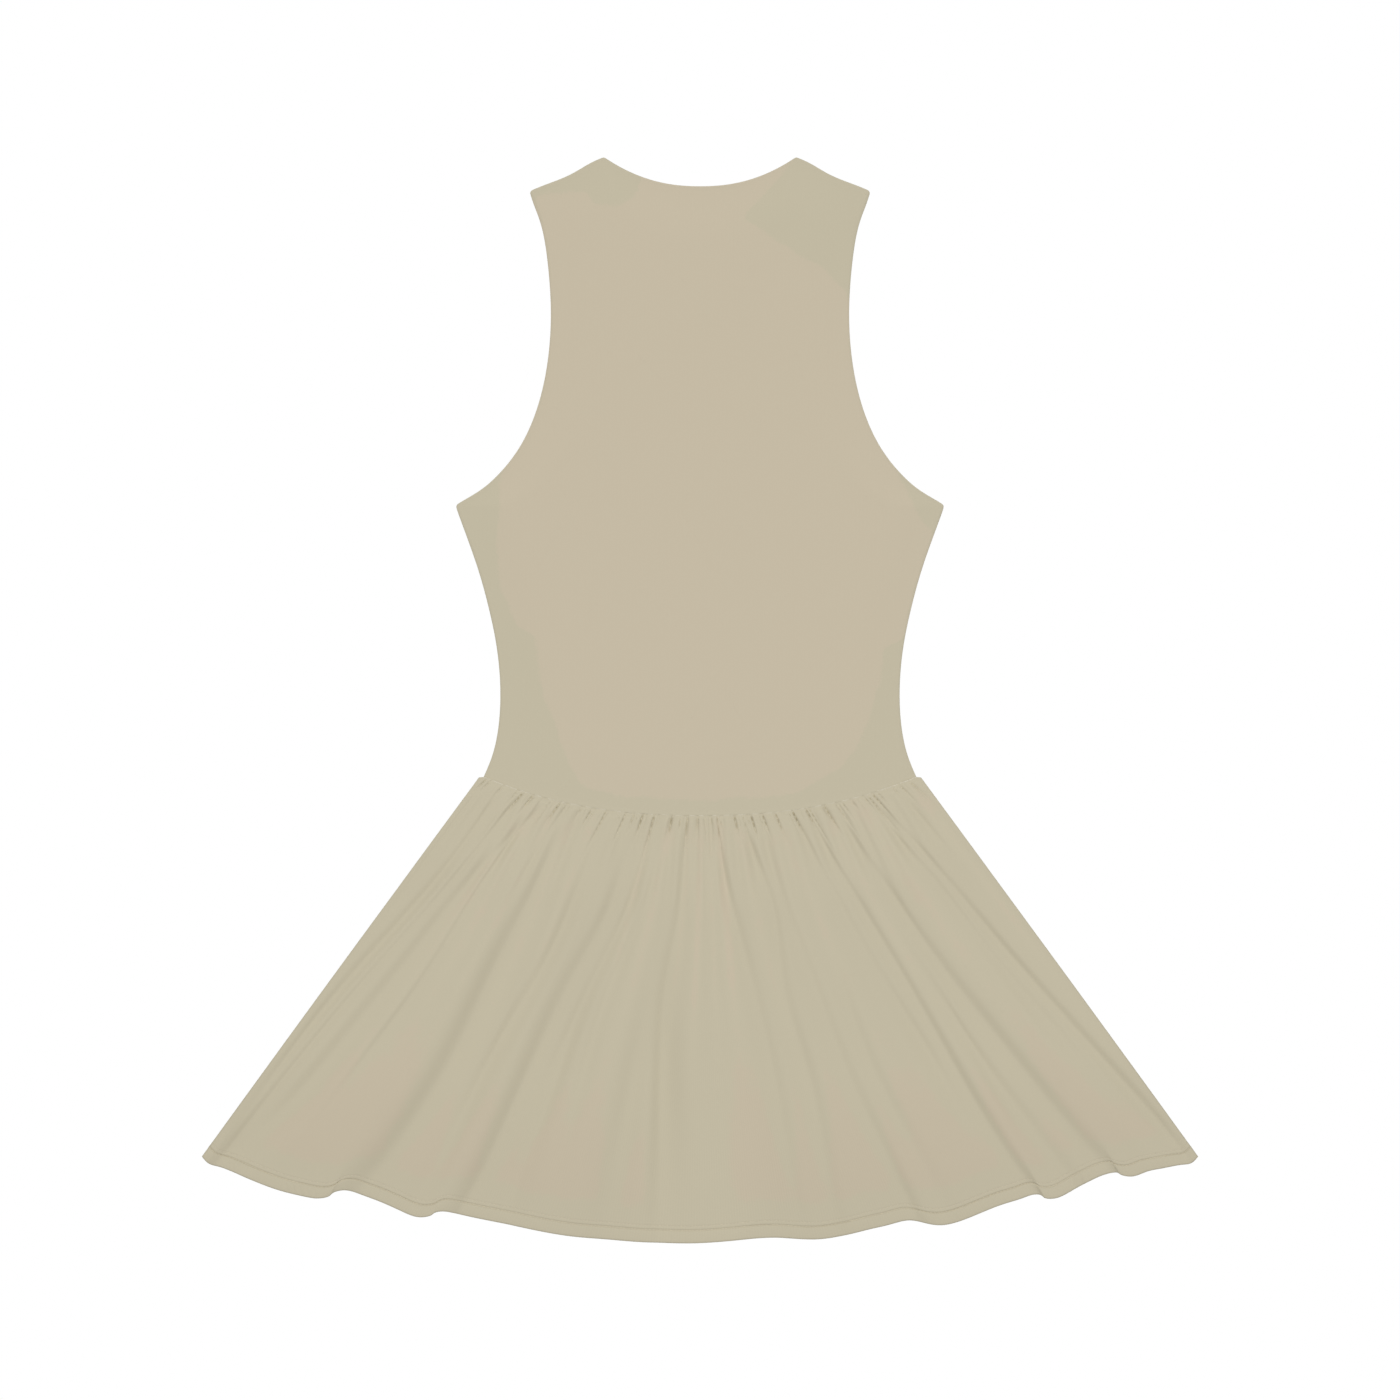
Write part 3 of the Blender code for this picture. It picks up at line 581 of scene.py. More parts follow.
def tape_material():
    """Woven zip tape: a fine twill of diagonal ribs."""
    nodes = Nodes("woven_tape")
    place = nodes.add("ShaderNodeTexCoord")
    rib = nodes.add(
        "ShaderNodeTexWave", {"Scale": 700.0, "Distortion": 0.4}, {"Vector": place.outputs["Object"]},
        wave_type="BANDS", bands_direction="DIAGONAL",
    )
    shade = nodes.math("ADD", nodes.math("MULTIPLY", rib.outputs["Fac"], 0.16), 0.88)
    colour = nodes.add("ShaderNodeVectorMath", {0: TAPE}, {3: shade}, operation="SCALE")
    bump = nodes.add("ShaderNodeBump", {"Strength": 0.4, "Distance": 0.0001}, {"Height": rib.outputs["Fac"]})
    links = {"Base Color": colour.outputs[0], "Normal": bump.outputs[0]}
    return nodes.finish({"Roughness": 0.85}, links)


def metal_material():
    """Warm nickel plate with fine brushing along the zip."""
    nodes = Nodes("warm_nickel")
    place = nodes.add("ShaderNodeTexCoord")
    stretch = nodes.add("ShaderNodeMapping", {"Scale": (6000.0, 300.0, 6000.0)}, {0: place.outputs["Object"]})
    brush = nodes.add("ShaderNodeTexNoise", {"Scale": 1.0, "Detail": 3.0}, {"Vector": stretch.outputs[0]})
    rough = nodes.math("ADD", nodes.math("MULTIPLY", brush.outputs["Fac"], 0.2), 0.22)
    return nodes.finish({"Base Color": (*METAL, 1), "Metallic": 1.0}, {"Roughness": rough})


# Outlines

def top_drop(half):
    """The back's top edge: the neck's depth less a power of the distance out, then the shoulder table,
    with rounded corners."""
    neck = BACK_NECK_DROP * (1 - (half / NECK_HALF) ** NECK_POWER)
    inside = SHOULDER_START_SLOPE * (half - NECK_HALF)
    shoulder = np.where(half < NECK_HALF, inside, curve_through(SHOULDER, half))
    past = np.clip(1 - (SHOULDER_TIP_HALF - half) / CORNER_ROUND, 0, 1)
    tip = 0.6 * CORNER_ROUND * (1 - np.sqrt(1 - past**2))
    return -smaller(-neck, -shoulder, CORNER_BLEND) + tip


def seam_drop(half):
    """The dropped waist seam: its corner's drop, plus a dip that falls off as a power of the share."""
    return SEAM_CORNER_DROP + SEAM_CENTRE_DIP * (1 - np.minimum(half / SEAM_HALF, 1.0) ** SEAM_POWER)


def bodice_half(drop):
    """The armhole's table above the underarm, and the side seam's table below it, rounded where they
    meet, and at the shoulder's tip by what a circle's arc falls short of its corner."""
    below, above = np.maximum(drop - UNDERARM_DROP, 0), np.maximum(UNDERARM_DROP - drop, 0)
    armhole = curve_through(ARMHOLE, drop) + UNDERARM_SLOPES[0] * below
    side = curve_through(SIDE, drop) + UNDERARM_SLOPES[1] * above
    past = np.clip(1 - (drop - SHOULDER_TIP_DROP) / CORNER_ROUND, 0, 1)
    tip = 0.3 * CORNER_ROUND * (1 - np.sqrt(1 - past**2))
    return smaller(armhole, side, UNDERARM_BLEND) - tip


def skirt_top_drop(share):
    """The skirt's top edge runs along the seam, and past the bodice's corner it turns down."""
    half = np.abs(share) * SKIRT_TOP_HALF
    past = np.clip(1 - (SKIRT_TOP_HALF - half) / SKIRT_CORNER_ROUND, 0, 1)
    corner = SKIRT_CORNER_ROUND * (1 - np.sqrt(1 - past**2))
    return seam_drop(half) + SEAM_GAP + SKIRT_CORNER_SLOPE * np.maximum(half - SEAM_HALF, 0) + corner


# Back skirt

def skirt_plan(column, down):
    """Columns fan out from seam to hem. A column's share is itself plus a drift that grows down the skirt
    as the sine of the column, because the long folds drift outwards. The place runs from the share's point
    on the seam to its point on the hem, and the sides bow out by half a sine wave."""
    share = column + FAN_DRIFT * np.maximum(down, 0) * np.sin(np.pi * column)
    half = SKIRT_TOP_HALF + (HEM_TIP_HALF - SKIRT_TOP_HALF) * down
    half = half + SKIRT_SIDE_BOW * np.sin(np.pi * np.clip(down, 0, 1))
    top = skirt_top_drop(share)
    hem = curve_through(HEM, share * HEM_TIP_HALF)
    length = np.hypot(hem - top, (HEM_TIP_HALF - SKIRT_TOP_HALF) * share)
    return share, half, top + (hem - top) * down, length


def fold_depth(share, down, half):
    """Each fold is a bell-shaped hollow with a width for each side, less a bell-shaped ridge where its
    outer lobe stands up beside it. The hollow lies inside its path by the share of the outer width at
    which a bell is steepest. Gives the depth, and how near each point is to a fold's wall."""
    total = np.zeros(np.broadcast(share, down).shape)
    walls = np.zeros(total.shape)
    for path, outer, inner, depths, ridge in FOLDS:
        centre = curve_through(list(zip(FOLD_LEVELS, path)), down)
        deep = curve_through(list(zip(FOLD_LEVELS, depths)), down)
        widen = FOLD_SEAM_WIDTH_SHARE + (1 - FOLD_SEAM_WIDTH_SHARE) * np.clip(down, 0, 1)
        outwards = np.sign(path[2]) * (share - centre) * half + STEEPEST * outer * widen
        hollow = bell(outwards, np.where(outwards > 0, outer, inner) * widen)
        lobe = bell(outwards - 2.0 * outer * widen, 1.3 * outer * widen)
        total = total + deep * (hollow - ridge * lobe)
        reach = np.where(outwards > 0, 1.3 * outer, min(inner, 12))
        walls = walls + np.clip(deep / 3.0, 0, 1) * bell(outwards, reach * widen)
    return total, walls


def gather_depth(share, below):
    """Creases that fan down from the seam, less the puff that the gathered cloth makes between them.
    Across, a crease is e to the power of minus the distance over its width, and it fades as a bell down
    its length. Creases drift outwards by a hyperbolic tangent of their place. The weak ones stand in an
    even row, and sines of their number vary their places, lengths and depths."""
    total = np.zeros(np.broadcast(share, below).shape)
    weak = np.arange(WEAK_GATHERS)
    place = weak + 0.35 * np.sin(2.7 * weak)
    place = -0.95 + 2 * 0.95 * place / (WEAK_GATHERS - 1)
    length = WEAK_GATHER_LENGTH * (1 + 0.5 * np.sin(1.9 * weak))
    depth = WEAK_GATHER_DEPTH * (1 + 0.5 * np.sin(3.1 * weak + 1))
    strong = [(at, reach, STRONG_GATHER_DEPTH * deep) for at, reach, deep in STRONG_GATHERS]
    table = [(*row, STRONG_GATHER_WIDTH) for row in strong]
    table += [(*row, WEAK_GATHER_WIDTH) for row in zip(place, length, depth)]
    past = np.maximum(below - 3.0, 0)
    for place, length, depth, width in table:
        drift = GATHER_DRIFT * (below - GATHER_LEVEL) * np.tanh(4.0 * place)
        across = (share - place - drift) * SKIRT_TOP_HALF
        wide = width * (1 + 0.02 * np.clip(below, 0, None))
        total = total + depth * crease(across, wide) * bell(past, length)
    puff = GATHER_PUFF * rise(below / GATHER_PUFF_START)
    puff = puff * bell(np.maximum(below - 8.0, 0), GATHER_PUFF_SPAN)
    return total * rise(below / GATHER_START) - puff


def ridge_profile(share, down, half):
    """Soft ridges between the folds of the upper skirt, at full length: a bell across each."""
    total = np.zeros(np.broadcast(share, down).shape)
    for high, low, width, height in RIDGES:
        place = high + (low - high) * (down - 0.2) / 0.3
        total = total + height * bell((share - place) * half, width)
    return total


def ripple_height(share, below):
    """Fine ripples down from the gathers: a wave across with a wandering phase, which fades as a bell."""
    phase = share / RIPPLE_SHARE + 0.35 * np.sin(9 * share)
    wave = np.sin(2 * np.pi * phase)
    return RIPPLE_HEIGHT * wave * bell(below - RIPPLE_LEVEL, RIPPLE_SPAN)


def hem_relief(x, from_hem):
    """The sewn hem: a puffed band, two needle grooves, and small puckers across the band."""
    inside = np.clip(from_hem / HEM_STITCH_ROWS[0], 0, 1)
    relief = HEM_BAND_PUFF * np.sin(np.pi * inside) * (from_hem < HEM_STITCH_ROWS[0])
    for place, width, depth in HEM_GROOVES:
        relief = relief - depth * bell(from_hem - place, width)
    band = rise(from_hem / 2) * rise((HEM_STITCH_ROWS[0] - from_hem) / 3)
    for centre, spread in HEM_PUCKERS:
        wave = np.sin((x + 0.35 * from_hem - centre) * 1.1) * bell(x - centre, spread)
        relief = relief + HEM_PUCKER_HEIGHT * wave * band
    return relief


def skirt_surface(column, down):
    """The face side of the back skirt: a low crown, less the folds and gathers, plus the hem's relief and
    the laps. A lap moves the cloth on both sides of its place towards each other, by a bell times the
    distance, so that the outer lobe passes over the inner one. What would sink below the layer under it
    is rounded off above it, by half of the lift plus the root of its square plus a blend."""
    share, half, drop, length = skirt_plan(column, down)
    x = half * share
    below, from_hem = length * down, length * (1 - down)
    from_side = rise((half - np.abs(x)) / SKIRT_EDGE_REACH)
    near_seam = rise(1 - below / SKIRT_RISE_REACH)
    near_hem = rise(1 - from_hem / HEM_FALL_REACH)
    crown = SKIRT_CROWN + (SEAM_CROWN - SKIRT_CROWN) * near_seam
    side_lift = SIDE_LIFT_SHARE + (1 - SIDE_LIFT_SHARE) * from_side
    crown = crown * (1 - (1 - HEM_LIFT_SHARE) * near_hem) * side_lift
    slim = rise((half - np.abs(x)) / 7.0)
    folds, walls = fold_depth(share, down, half)
    deepen = FOLD_SEAM_DEPTH_SHARE + (1 - FOLD_SEAM_DEPTH_SHARE) * rise(below / FOLD_FULL_DEPTH)
    lift = crown - folds * deepen * slim
    ridges = ridge_profile(share, down, half) * bell(down - RIDGE_LEVEL, RIDGE_SPAN)
    lift = lift + (ridges + ripple_height(share, below)) * slim
    lift = lift - gather_depth(share, below) * slim
    for place, reach in LAPS:
        side = np.sign(place)
        apart = side * (share - place) * half / LAP_WIDTH
        grow = rise((down - LAP_START) / (1 - LAP_START))
        x = x - side * reach * 2 * apart * bell(apart, 1.0) * grow
        step = 0.5 * (1 + np.tanh(2 * apart)) * bell(np.maximum(apart, 0), 4.0)
        lift = lift + LAP_HEIGHT * grow * step
    lift = 0.5 * (lift + np.sqrt(lift**2 + 0.5))
    lift = lift + hem_relief(x, from_hem)
    return points(x, drop, REST + lift), half, length, walls


def skirt_tones(share, down, half, from_hem, walls, to_edge):
    """The skirt is warmer between its folds in the lower half, in wedges that narrow upwards, and along
    its upper ridges, but not along its middle or its hem. Painted light makes it a little brighter at its
    top and along its upper ridges, and painted shade makes it darker towards the hem's two sides and along
    its edges."""
    wedge = (down - WEDGE_START) / WEDGE_SPAN + 0.15 - WEDGE_WALL_COOLING * walls
    wedge = np.clip(wedge, 0, 1) * ramp(from_hem, *WEDGE_FROM_HEM)
    wedge = wedge * ramp(half * (1 - np.abs(share)), *WEDGE_FROM_SIDE)
    wedge = wedge * ramp(np.abs(share - WEDGE_CENTRE), *WEDGE_FROM_CENTRE)
    ridges = ridge_profile(share, down, half) * bell(down - RIDGE_TONE_LEVEL, RIDGE_TONE_SPAN)
    seam = SEAM_WARMTH * bell(down - 0.05, 0.06)
    hem_side = ramp(down, *HEM_SIDE_DOWN) * ramp(np.abs(share), *HEM_SIDE_ACROSS)
    # Painted light at the top and on the ridges; below, painted shade towards the hem's sides and at the
    # edges
    top = TOP_PAINTED_LIGHT * (1 - ramp(down, *TOP_PAINTED_LIGHT_DOWN)) + RIDGE_PAINTED_LIGHT * ridges
    shade = (1 - HEM_SIDE_PAINTED_SHADE * hem_side) * painted_edge_shade(to_edge, SKIRT_EDGE_PAINTED_SHADE, 0) * (1 + top)
    return wedge + RIDGE_WARMTH * ridges + seam, shade


def skirt_back(look):
    """The gathered back skirt, as one sheet from the seam to the hem."""
    column = (2 * graded(1.0, *SKIRT_COLUMN_STEPS) - 1)[None, :]
    body_length = SKIRT_NOMINAL_LENGTH - HEM_ROWS_REACH
    body = graded(2 * body_length, *SKIRT_ROW_STEPS)
    body = np.append(body[body < body_length - 1], body_length)
    hem = SKIRT_NOMINAL_LENGTH - np.arange(HEM_ROWS_REACH - HEM_ROW_STEP, -0.01, -HEM_ROW_STEP)
    rows = np.concatenate([body, hem])
    down = (rows / SKIRT_NOMINAL_LENGTH)[:, None]
    surface, half, length, walls = skirt_surface(column, down)
    share = skirt_plan(column, down)[0]
    from_hem = length * (1 - down)
    to_edge = np.minimum(SIDE_LEAN * half * (1 - np.abs(column)), from_hem)
    warmth, shade = skirt_tones(share, down, half, from_hem, walls, to_edge)
    uv = np.stack(np.broadcast_arrays(column * SKIRT_FLAT_TOP_HALF, length * down * MM), axis=-1)
    piece = cloth_shell(
        "back_skirt", surface, edge_roll(to_edge), uv, warmth, shade, look, 12,
        hemmed_sides=True,
    )
    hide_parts("skirt_back")
    return piece


# Back bodice

def row_drop(levels, top, seam):
    """A bodice row's drop: its level, moved by the top edge's shape near the shoulder and by the seam's
    shape near the waist."""
    down = (levels - SHOULDER_TIP_DROP) / (SEAM_CORNER_DROP - SHOULDER_TIP_DROP)
    return levels + (top - SHOULDER_TIP_DROP) * (1 - down) + (seam - SEAM_CORNER_DROP) * down


def bodice_grid(levels, across, top, seam):
    """Rows stretch to the outline's half width at their level. Also gives that half width, and how far
    each point is from the side, measured square to it."""
    half = bodice_half(levels)
    slope = np.gradient(half[:, 0], levels[:, 0])[:, None]
    to_side = (half - half * np.abs(across)) / np.hypot(1, slope)
    return half * across, row_drop(levels, top, seam), half, to_side


def bodice_levels():
    """Row levels from the shoulder's tip to the seam's corner, close together at the ends and underarm."""
    armhole = SHOULDER_TIP_DROP + graded(UNDERARM_DROP - SHOULDER_TIP_DROP, *BODICE_ROW_STEPS)
    side = UNDERARM_DROP + graded(SEAM_CORNER_DROP - UNDERARM_DROP, *BODICE_ROW_STEPS)[1:]
    return np.concatenate([armhole, side])[:, None]


def bodice_tones(x, drop, above, to_edge):
    """The bodice is warm but for its lower sides, its two shoulders and a band along the seam, where a
    smooth step of the distance to each zone's line cools it. A line of painted shade along its edges is
    cooler and a little darker."""
    left_reach = np.interp(drop, *np.array(COOL_LEFT_SIDE).T)
    right_reach = np.interp(drop, *np.array(COOL_RIGHT_SIDE).T)
    beyond = np.where(x < 0, -x - left_reach, x - right_reach)
    sides = rise(beyond / COOL_EDGE_BLUR + 0.5) * ramp(drop, *COOL_SIDE_TOP)
    left = rise((np.interp(x, *np.array(COOL_LEFT_SHOULDER).T) - drop) / COOL_EDGE_BLUR + 0.5) * (x < 0)
    start_x, start_drop, slope = COOL_RIGHT_START
    right = rise((np.interp(x, *np.array(COOL_RIGHT_SHOULDER).T) - drop) / COOL_EDGE_BLUR + 0.5)
    right = right * rise((drop - start_drop - slope * (x - start_x)) / COOL_EDGE_BLUR + 0.5) * (x > 0)
    band = rise((20 - above) / COOL_EDGE_BLUR)
    warmth = (1 - sides) * (1 - right) * (1 - left) * (1 - band)
    # The painted shade line beside the edges: cooler here, and darker through the shade attribute
    warmth = warmth * (1 - BODICE_EDGE_COOL * bell(to_edge - BODICE_EDGE_PLACE, PAINTED_EDGE_SHADE_WIDTH))
    return warmth, painted_edge_shade(to_edge, BODICE_EDGE_PAINTED_SHADE, BODICE_EDGE_PLACE)


def bodice_back(look):
    """The back bodice: a low crown that falls to its edges, with the seam's turned ridge at the bottom."""
    neck = graded(2 * NECK_HALF, *NECK_STEPS) - NECK_HALF
    shoulder = NECK_HALF + graded(SHOULDER_TIP_HALF - NECK_HALF, *SHOULDER_STEPS)[1:]
    across = np.concatenate([-shoulder[::-1], neck, shoulder])[None, :] / SHOULDER_TIP_HALF
    levels = bodice_levels()
    top = top_drop(np.abs(across) * SHOULDER_TIP_HALF)
    seam = seam_drop(np.abs(across) * SEAM_HALF)
    x, drop, half, to_side = bodice_grid(levels, across, top, seam)
    from_side = rise((half - np.abs(x)) / CROWN_REACH)
    from_top = rise((drop - top) / CROWN_REACH)
    above = seam - drop
    near_seam = rise(1 - above / CROWN_REACH)
    crown = BODICE_CROWN + (SEAM_CROWN - BODICE_CROWN) * near_seam
    lift = EDGE_LIFT + crown * from_side * from_top
    lift = lift + SEAM_RIDGE * bell(above - SEAM_RIDGE_PLACE, SEAM_RIDGE_WIDTH)
    swell = SWELL * np.sin(x / SWELL_ACROSS + 1.3) * np.sin(drop / SWELL_DOWN)
    lift = lift + swell * from_side * from_top
    to_edge = np.minimum(to_side, drop - top)
    warmth, shade = bodice_tones(x, drop, above, to_edge)
    uv = np.stack(np.broadcast_arrays(x * MM, -drop * MM), axis=-1)
    surface = points(x, drop, REST + lift)
    piece = cloth_shell("back_bodice", surface, edge_roll(to_edge), uv, warmth, shade, look, 1)
    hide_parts("bodice_back")
    return piece


# Fronts

def front_panel(name, x, drop, to_edge, uv, look):
    """A front panel lies flat: a level wall with rounded edges, whose underside rests on the surface."""
    rows, columns = x.shape
    roll = 0.4 * edge_roll(to_edge)
    upper = points(x, drop, FRONT_TOP - roll)
    lower = points(x, drop, FRONT_UNDERSIDE + roll)
    start = rows * columns
    faces = grid_faces(rows, columns).tolist() + grid_faces(rows, columns, start)[:, ::-1].tolist()
    ring = np.concatenate([
        np.arange(columns), np.arange(1, rows) * columns + columns - 1,
        (rows - 1) * columns + np.arange(columns - 2, -1, -1), np.arange(rows - 2, 0, -1) * columns,
    ])
    after = np.roll(ring, -1)
    faces += np.stack([ring, after, after + start, ring + start], axis=-1).tolist()
    vertices = np.concatenate([upper.reshape(-1, 3), lower.reshape(-1, 3)])
    plain = np.ones(2 * rows * columns)
    return new_piece(name, vertices, faces, look, np.concatenate([uv, uv]), 0.6 * plain, plain)


def bodice_front(side_name, side, look):
    """One front bodice: from the zip's edge out to the armhole and side seam."""
    share = graded(1.0, *FRONT_BODICE_STEPS)[None, :]
    inset = 1.0
    levels = bodice_levels()
    half = bodice_half(levels) - inset
    edge = 5.0
    tip_x = edge + (SHOULDER_TIP_HALF - inset - edge) * share
    reach = np.clip((tip_x - edge) / (NECK_HALF - edge), 0, 1)
    neck = FRONT_NECK_DROP * np.sqrt(1 - reach**2) + inset
    top = np.where(tip_x < NECK_HALF, neck, curve_through(SHOULDER, tip_x) + inset)
    x = edge + (half - edge) * share
    seam = seam_drop(edge + (SEAM_HALF - inset - edge) * share)
    drop = row_drop(levels, top, seam)
    to_edge = np.minimum(np.minimum(x - edge, half - x), np.minimum(drop - top, seam - drop))
    uv = np.stack([side * x * MM, -drop * MM], axis=-1).reshape(-1, 2)
    order = slice(None, None, side)
    piece = front_panel(
        f"front_bodice_{side_name}", (side * x)[:, order], drop[:, order], to_edge[:, order],
        uv.reshape(*x.shape, 2)[:, order].reshape(-1, 2), look,
    )
    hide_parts(f"bodice_front_{side_name}")
    return piece


def skirt_front(look):
    """The front skirt: flat, just inside the back's outline, gathered into the seam."""
    share = (2 * graded(1.0, *FRONT_SKIRT_COLUMN_STEPS) - 1)[None, :]
    down = graded(1.0, *FRONT_SKIRT_ROW_STEPS)[:, None]
    low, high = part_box("skirt_front")
    tip_half = high[0] / MM
    hem_centre = SHOULDER_Y - low[1] / MM
    top_half = SKIRT_TOP_HALF - 2
    hem = hem_centre - 66 * np.abs(share) ** 1.6
    top = seam_drop(np.abs(share) * top_half) + LAYER_GAP
    x = (top_half + (tip_half - top_half) * down) * share
    drop = top + (hem - top) * down
    to_edge = np.minimum(np.minimum(drop - top, hem - drop), (tip_half - np.abs(share) * tip_half))
    uv = np.stack(np.broadcast_arrays(share * SKIRT_FLAT_TOP_HALF, drop * MM), axis=-1)
    piece = front_panel("front_skirt", x, drop, to_edge, uv.reshape(-1, 2), look)
    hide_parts("skirt_front")
    return piece


# Stitches

def stitches(name, path, up, look):
    """A row of sewn stitches as one piece. Each is a short rounded bar laid along the path: rings of a
    circle whose radius is that of an ellipse along its length."""
    step = np.linalg.norm(np.diff(path, axis=0), axis=1)
    along = np.concatenate([[0], np.cumsum(step)])
    starts = np.arange(STITCH_PITCH * MM, along[-1] - STITCH_PITCH * MM, STITCH_PITCH * MM)
    wanted = [(starts, path), (starts + STITCH_LENGTH * MM, path), (starts, up)]
    first, last, above = (
        np.stack([np.interp(at, along, line[:, k]) for k in range(3)], axis=-1) for at, line in wanted
    )
    axis = last - first
    side = np.cross(axis, above)
    side = side / np.linalg.norm(side, axis=1, keepdims=True)
    lift = np.cross(side, axis)
    lift = lift / np.linalg.norm(lift, axis=1, keepdims=True)
    ring = np.linspace(-0.96, 0.96, STITCH_RINGS)
    angle = np.arange(STITCH_SIDES) * 2 * np.pi / STITCH_SIDES
    radius = STITCH_RADIUS * MM * np.sqrt(1 - ring**2)
    centre = (first + last)[:, None, None] / 2 + axis[:, None, None] / 2 * ring[None, :, None, None]
    spoke = side[:, None, None] * np.cos(angle)[None, None, :, None]
    spoke = spoke + lift[:, None, None] * np.sin(angle)[None, None, :, None]
    shape = centre + spoke * radius[None, :, None, None]
    return new_piece(name, shape, bar_faces(len(starts), STITCH_RINGS, STITCH_SIDES), look)


def hem_stitches(look):
    """Both needle rows follow the skirt's face side at a set distance from the hem's edge."""
    column = np.linspace(-0.998, 0.998, 1600)
    length = skirt_plan(column, np.ones_like(column))[3]
    proud = STITCH_RADIUS * 0.3 * MM
    rows = []
    for number, distance in enumerate(HEM_STITCH_ROWS):
        down = 1 - distance / length
        path = skirt_surface(column, down)[0]
        beside = skirt_surface(column, down - 0.5 / SKIRT_NOMINAL_LENGTH)[0]
        tangent = np.gradient(path, axis=0)
        up = np.cross(tangent, beside - path)
        up = up / np.linalg.norm(up, axis=1, keepdims=True)
        rows.append(stitches(f"hem_stitches_{number + 1}", path + up * proud, up, look))
    return rows


# Zip

def zip_tape(side_name, side, look):
    """A tape's section, level beside the chain and bent down onto the front panel, carried along Y."""
    start, end = (1.8, TAPE_BEND[0][1]), (ZIP_TAPE_HIGH[0], TAPE_BEND[-1][1])
    low = np.array([start, *TAPE_BEND, end])
    section = np.concatenate([low, low[::-1] + (0, TAPE_THICKNESS)])
    y = np.linspace(ZIP_TAPE_LOW[1], ZIP_TAPE_HIGH[1], 60)
    x, z = section.T
    grid = np.stack(np.broadcast_arrays(side * x[None] * MM, y[:, None] * MM, z[None] * MM), axis=-1)
    rows, columns = grid.shape[:2]
    corner = np.arange(rows * columns).reshape(rows, columns)
    after = np.roll(corner, -1, axis=1)
    faces = np.stack([corner[:-1], after[:-1], after[1:], corner[1:]], axis=-1).reshape(-1, 4)
    if side > 0:
        faces = faces[:, ::-1]
    caps = [corner[0, ::-side].tolist(), corner[-1, ::side].tolist()]
    piece = new_piece(f"zip_tape_{side_name}_cloth", grid, faces.tolist() + caps, look)
    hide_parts(f"zip_tape_{side_name}")
    return piece


def zip_teeth(look):
    """Coil teeth: two rows of short bars that reach past the centre in turn. A bar's radius is the root of
    one less the fourth power of the place along it, so its ends are blunt."""
    y = np.arange(ZIP_CHAIN_LOW[1] + 1, ZIP_CHAIN_HIGH[1] - 1, TOOTH_PITCH / 2)
    turn = np.where(np.arange(len(y)) % 2, 1.0, -1.0)
    ring = np.linspace(-0.97, 0.97, TOOTH_RINGS)
    angle = np.arange(TOOTH_SIDES) * 2 * np.pi / TOOTH_SIDES
    x = (0.35 * turn)[:, None, None] + 1.1 * ring[None, :, None]
    radius = 0.48 * np.sqrt(1 - ring**4)[None, :, None]
    middle = (ZIP_CHAIN_LOW[2] + ZIP_CHAIN_HIGH[2]) / 2
    along = y[:, None, None] + 0.62 * radius * np.cos(angle)
    high = middle + radius * np.sin(angle)
    shape = np.stack(np.broadcast_arrays(x, along, high), axis=-1) * MM
    piece = new_piece("zip_coil", shape, bar_faces(len(y), TOOTH_RINGS, TOOTH_SIDES, turned=True), look)
    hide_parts("zip_chain")
    return piece


def topstitches(side_name, side, look):
    """A row beside the zip on the front's outer side, which lies against the surface."""
    y = np.linspace(ZIP_TAPE_LOW[1] + 2, ZIP_TAPE_HIGH[1] - 2, 300)
    x, z = np.full_like(y, side * TOPSTITCH_PLACE), np.full_like(y, FRONT_UNDERSIDE)
    path = np.stack([x, y, z], axis=-1) * MM
    up = np.tile([0.0, 0.0, -1.0], (len(y), 1))
    return stitches(f"zip_topstitch_{side_name}", path, up, look)


# Stage, camera and light

def stage():
    """A plain white floor with its own even light, so the dress lies on clean white."""
    white = Nodes("white_floor").finish({
        "Base Color": (0, 0, 0, 1), "Roughness": 1.0, "Specular IOR Level": 0.0,
        "Emission Color": (1, 1, 1, 1), "Emission Strength": 1.0,
    })
    reach, level = 4.0, -0.0005
    corners = [(-reach, -reach, level), (reach, -reach, level), (reach, reach, level), (-reach, reach, level)]
    floor = new_piece("floor", np.array(corners), [[0, 1, 2, 3]], white)


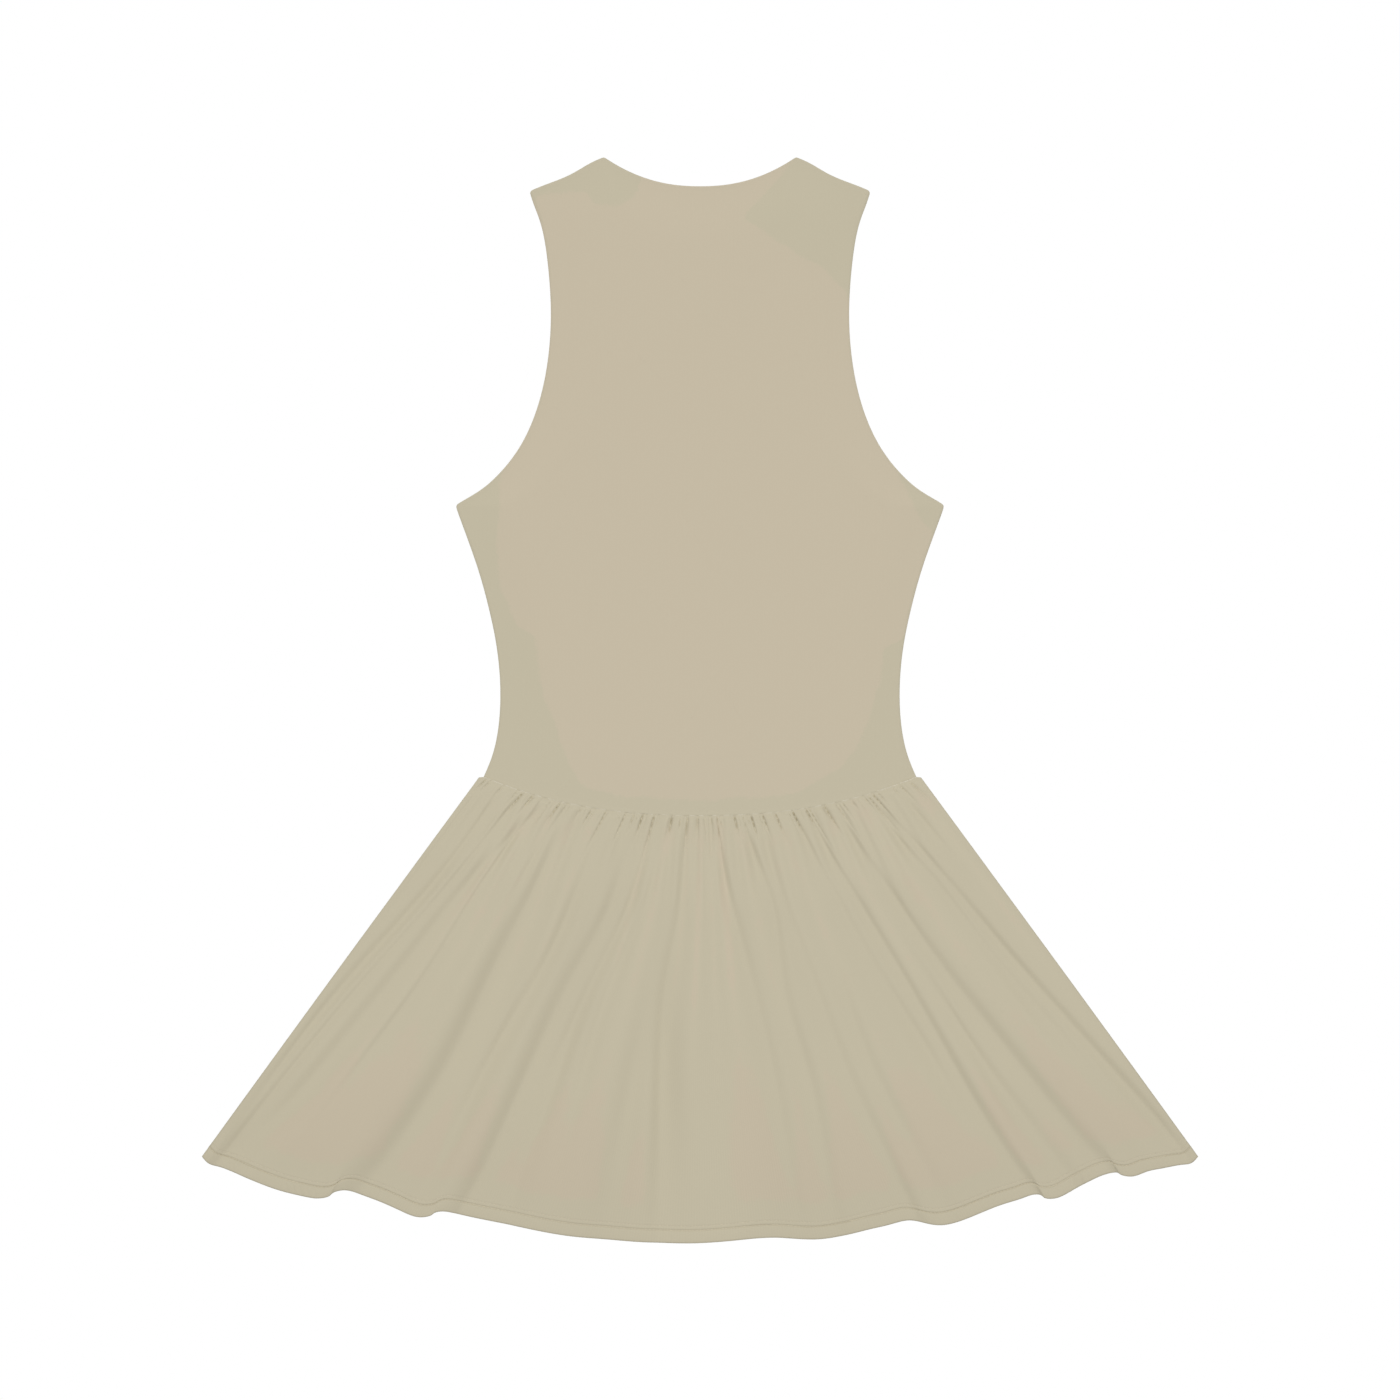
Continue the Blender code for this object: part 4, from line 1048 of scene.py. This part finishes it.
def camera():
    """Straight above the dress. The frame is as wide as the photo's 1400 pixels at this scale, at the
    height of the cloth."""
    frame_width = 1.148
    cloth_height = 0.004
    sensor, lens = 36.0, 100.0
    lens_data = bpy.data.cameras.new("camera")
    lens_data.lens = lens
    lens_data.sensor_width = sensor
    eye = bpy.data.objects.new("camera", lens_data)
    eye.location = (0.0, 0.0, frame_width * lens / sensor + cloth_height)
    bpy.context.scene.collection.objects.link(eye)
    bpy.context.scene.camera = eye


def light():
    """A broad lamp overhead, a little towards the neck, and an even white surround."""
    lamp = bpy.data.lights.new("overhead", "SUN")
    lamp.energy = LAMP_STRENGTH
    lamp.angle = np.radians(LAMP_SPREAD)
    shine = bpy.data.objects.new("overhead", lamp)
    shine.rotation_euler = (np.radians(LAMP_TILT), 0, 0)
    bpy.context.scene.collection.objects.link(shine)
    world = bpy.data.worlds.new("surround")
    world.use_nodes = True
    background = world.node_tree.nodes["Background"]
    background.inputs["Color"].default_value = (1, 1, 1, 1)
    background.inputs["Strength"].default_value = SURROUND_STRENGTH
    bpy.context.scene.world = world
    bpy.context.scene.view_settings.view_transform = "Standard"


def dress():
    """Makes every piece, gives it its body and its finish, and keeps the slider and pull of the frame."""
    bodice_look = jersey("bodice_jersey", COOL_BEIGE, WARM_BODICE_BEIGE)
    skirt_look = jersey("skirt_jersey", COOL_BEIGE, WARM_SKIRT_BEIGE_WITH_PAINTED_SHADE)
    thread = thread_material("thread", THREAD)
    teeth = thread_material("coil", TAPE)
    tape, metal = tape_material(), metal_material()
    made = [(bodice_back(bodice_look), "bodice_cloth"), (skirt_back(skirt_look), "skirt_cloth")]
    made.append((skirt_front(skirt_look), "skirt_cloth"))
    made += [(row, "skirt_cloth") for row in hem_stitches(thread)]
    for side_name, side in (("left", -1), ("right", 1)):
        made.append((bodice_front(side_name, side, bodice_look), "bodice_cloth"))
        made.append((topstitches(side_name, side, thread), "bodice_cloth"))
        made.append((zip_tape(side_name, side, tape), "zip_tape_cloth"))
    made.append((zip_teeth(teeth), "zip_teeth"))
    for piece, slot in made:
        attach(piece, "garment")
    for name in ("zip_slider", "zip_pull"):
        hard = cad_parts[name]
        hard.data.materials.clear()
        hard.data.materials.append(metal)


dress()
stage()
camera()
light()
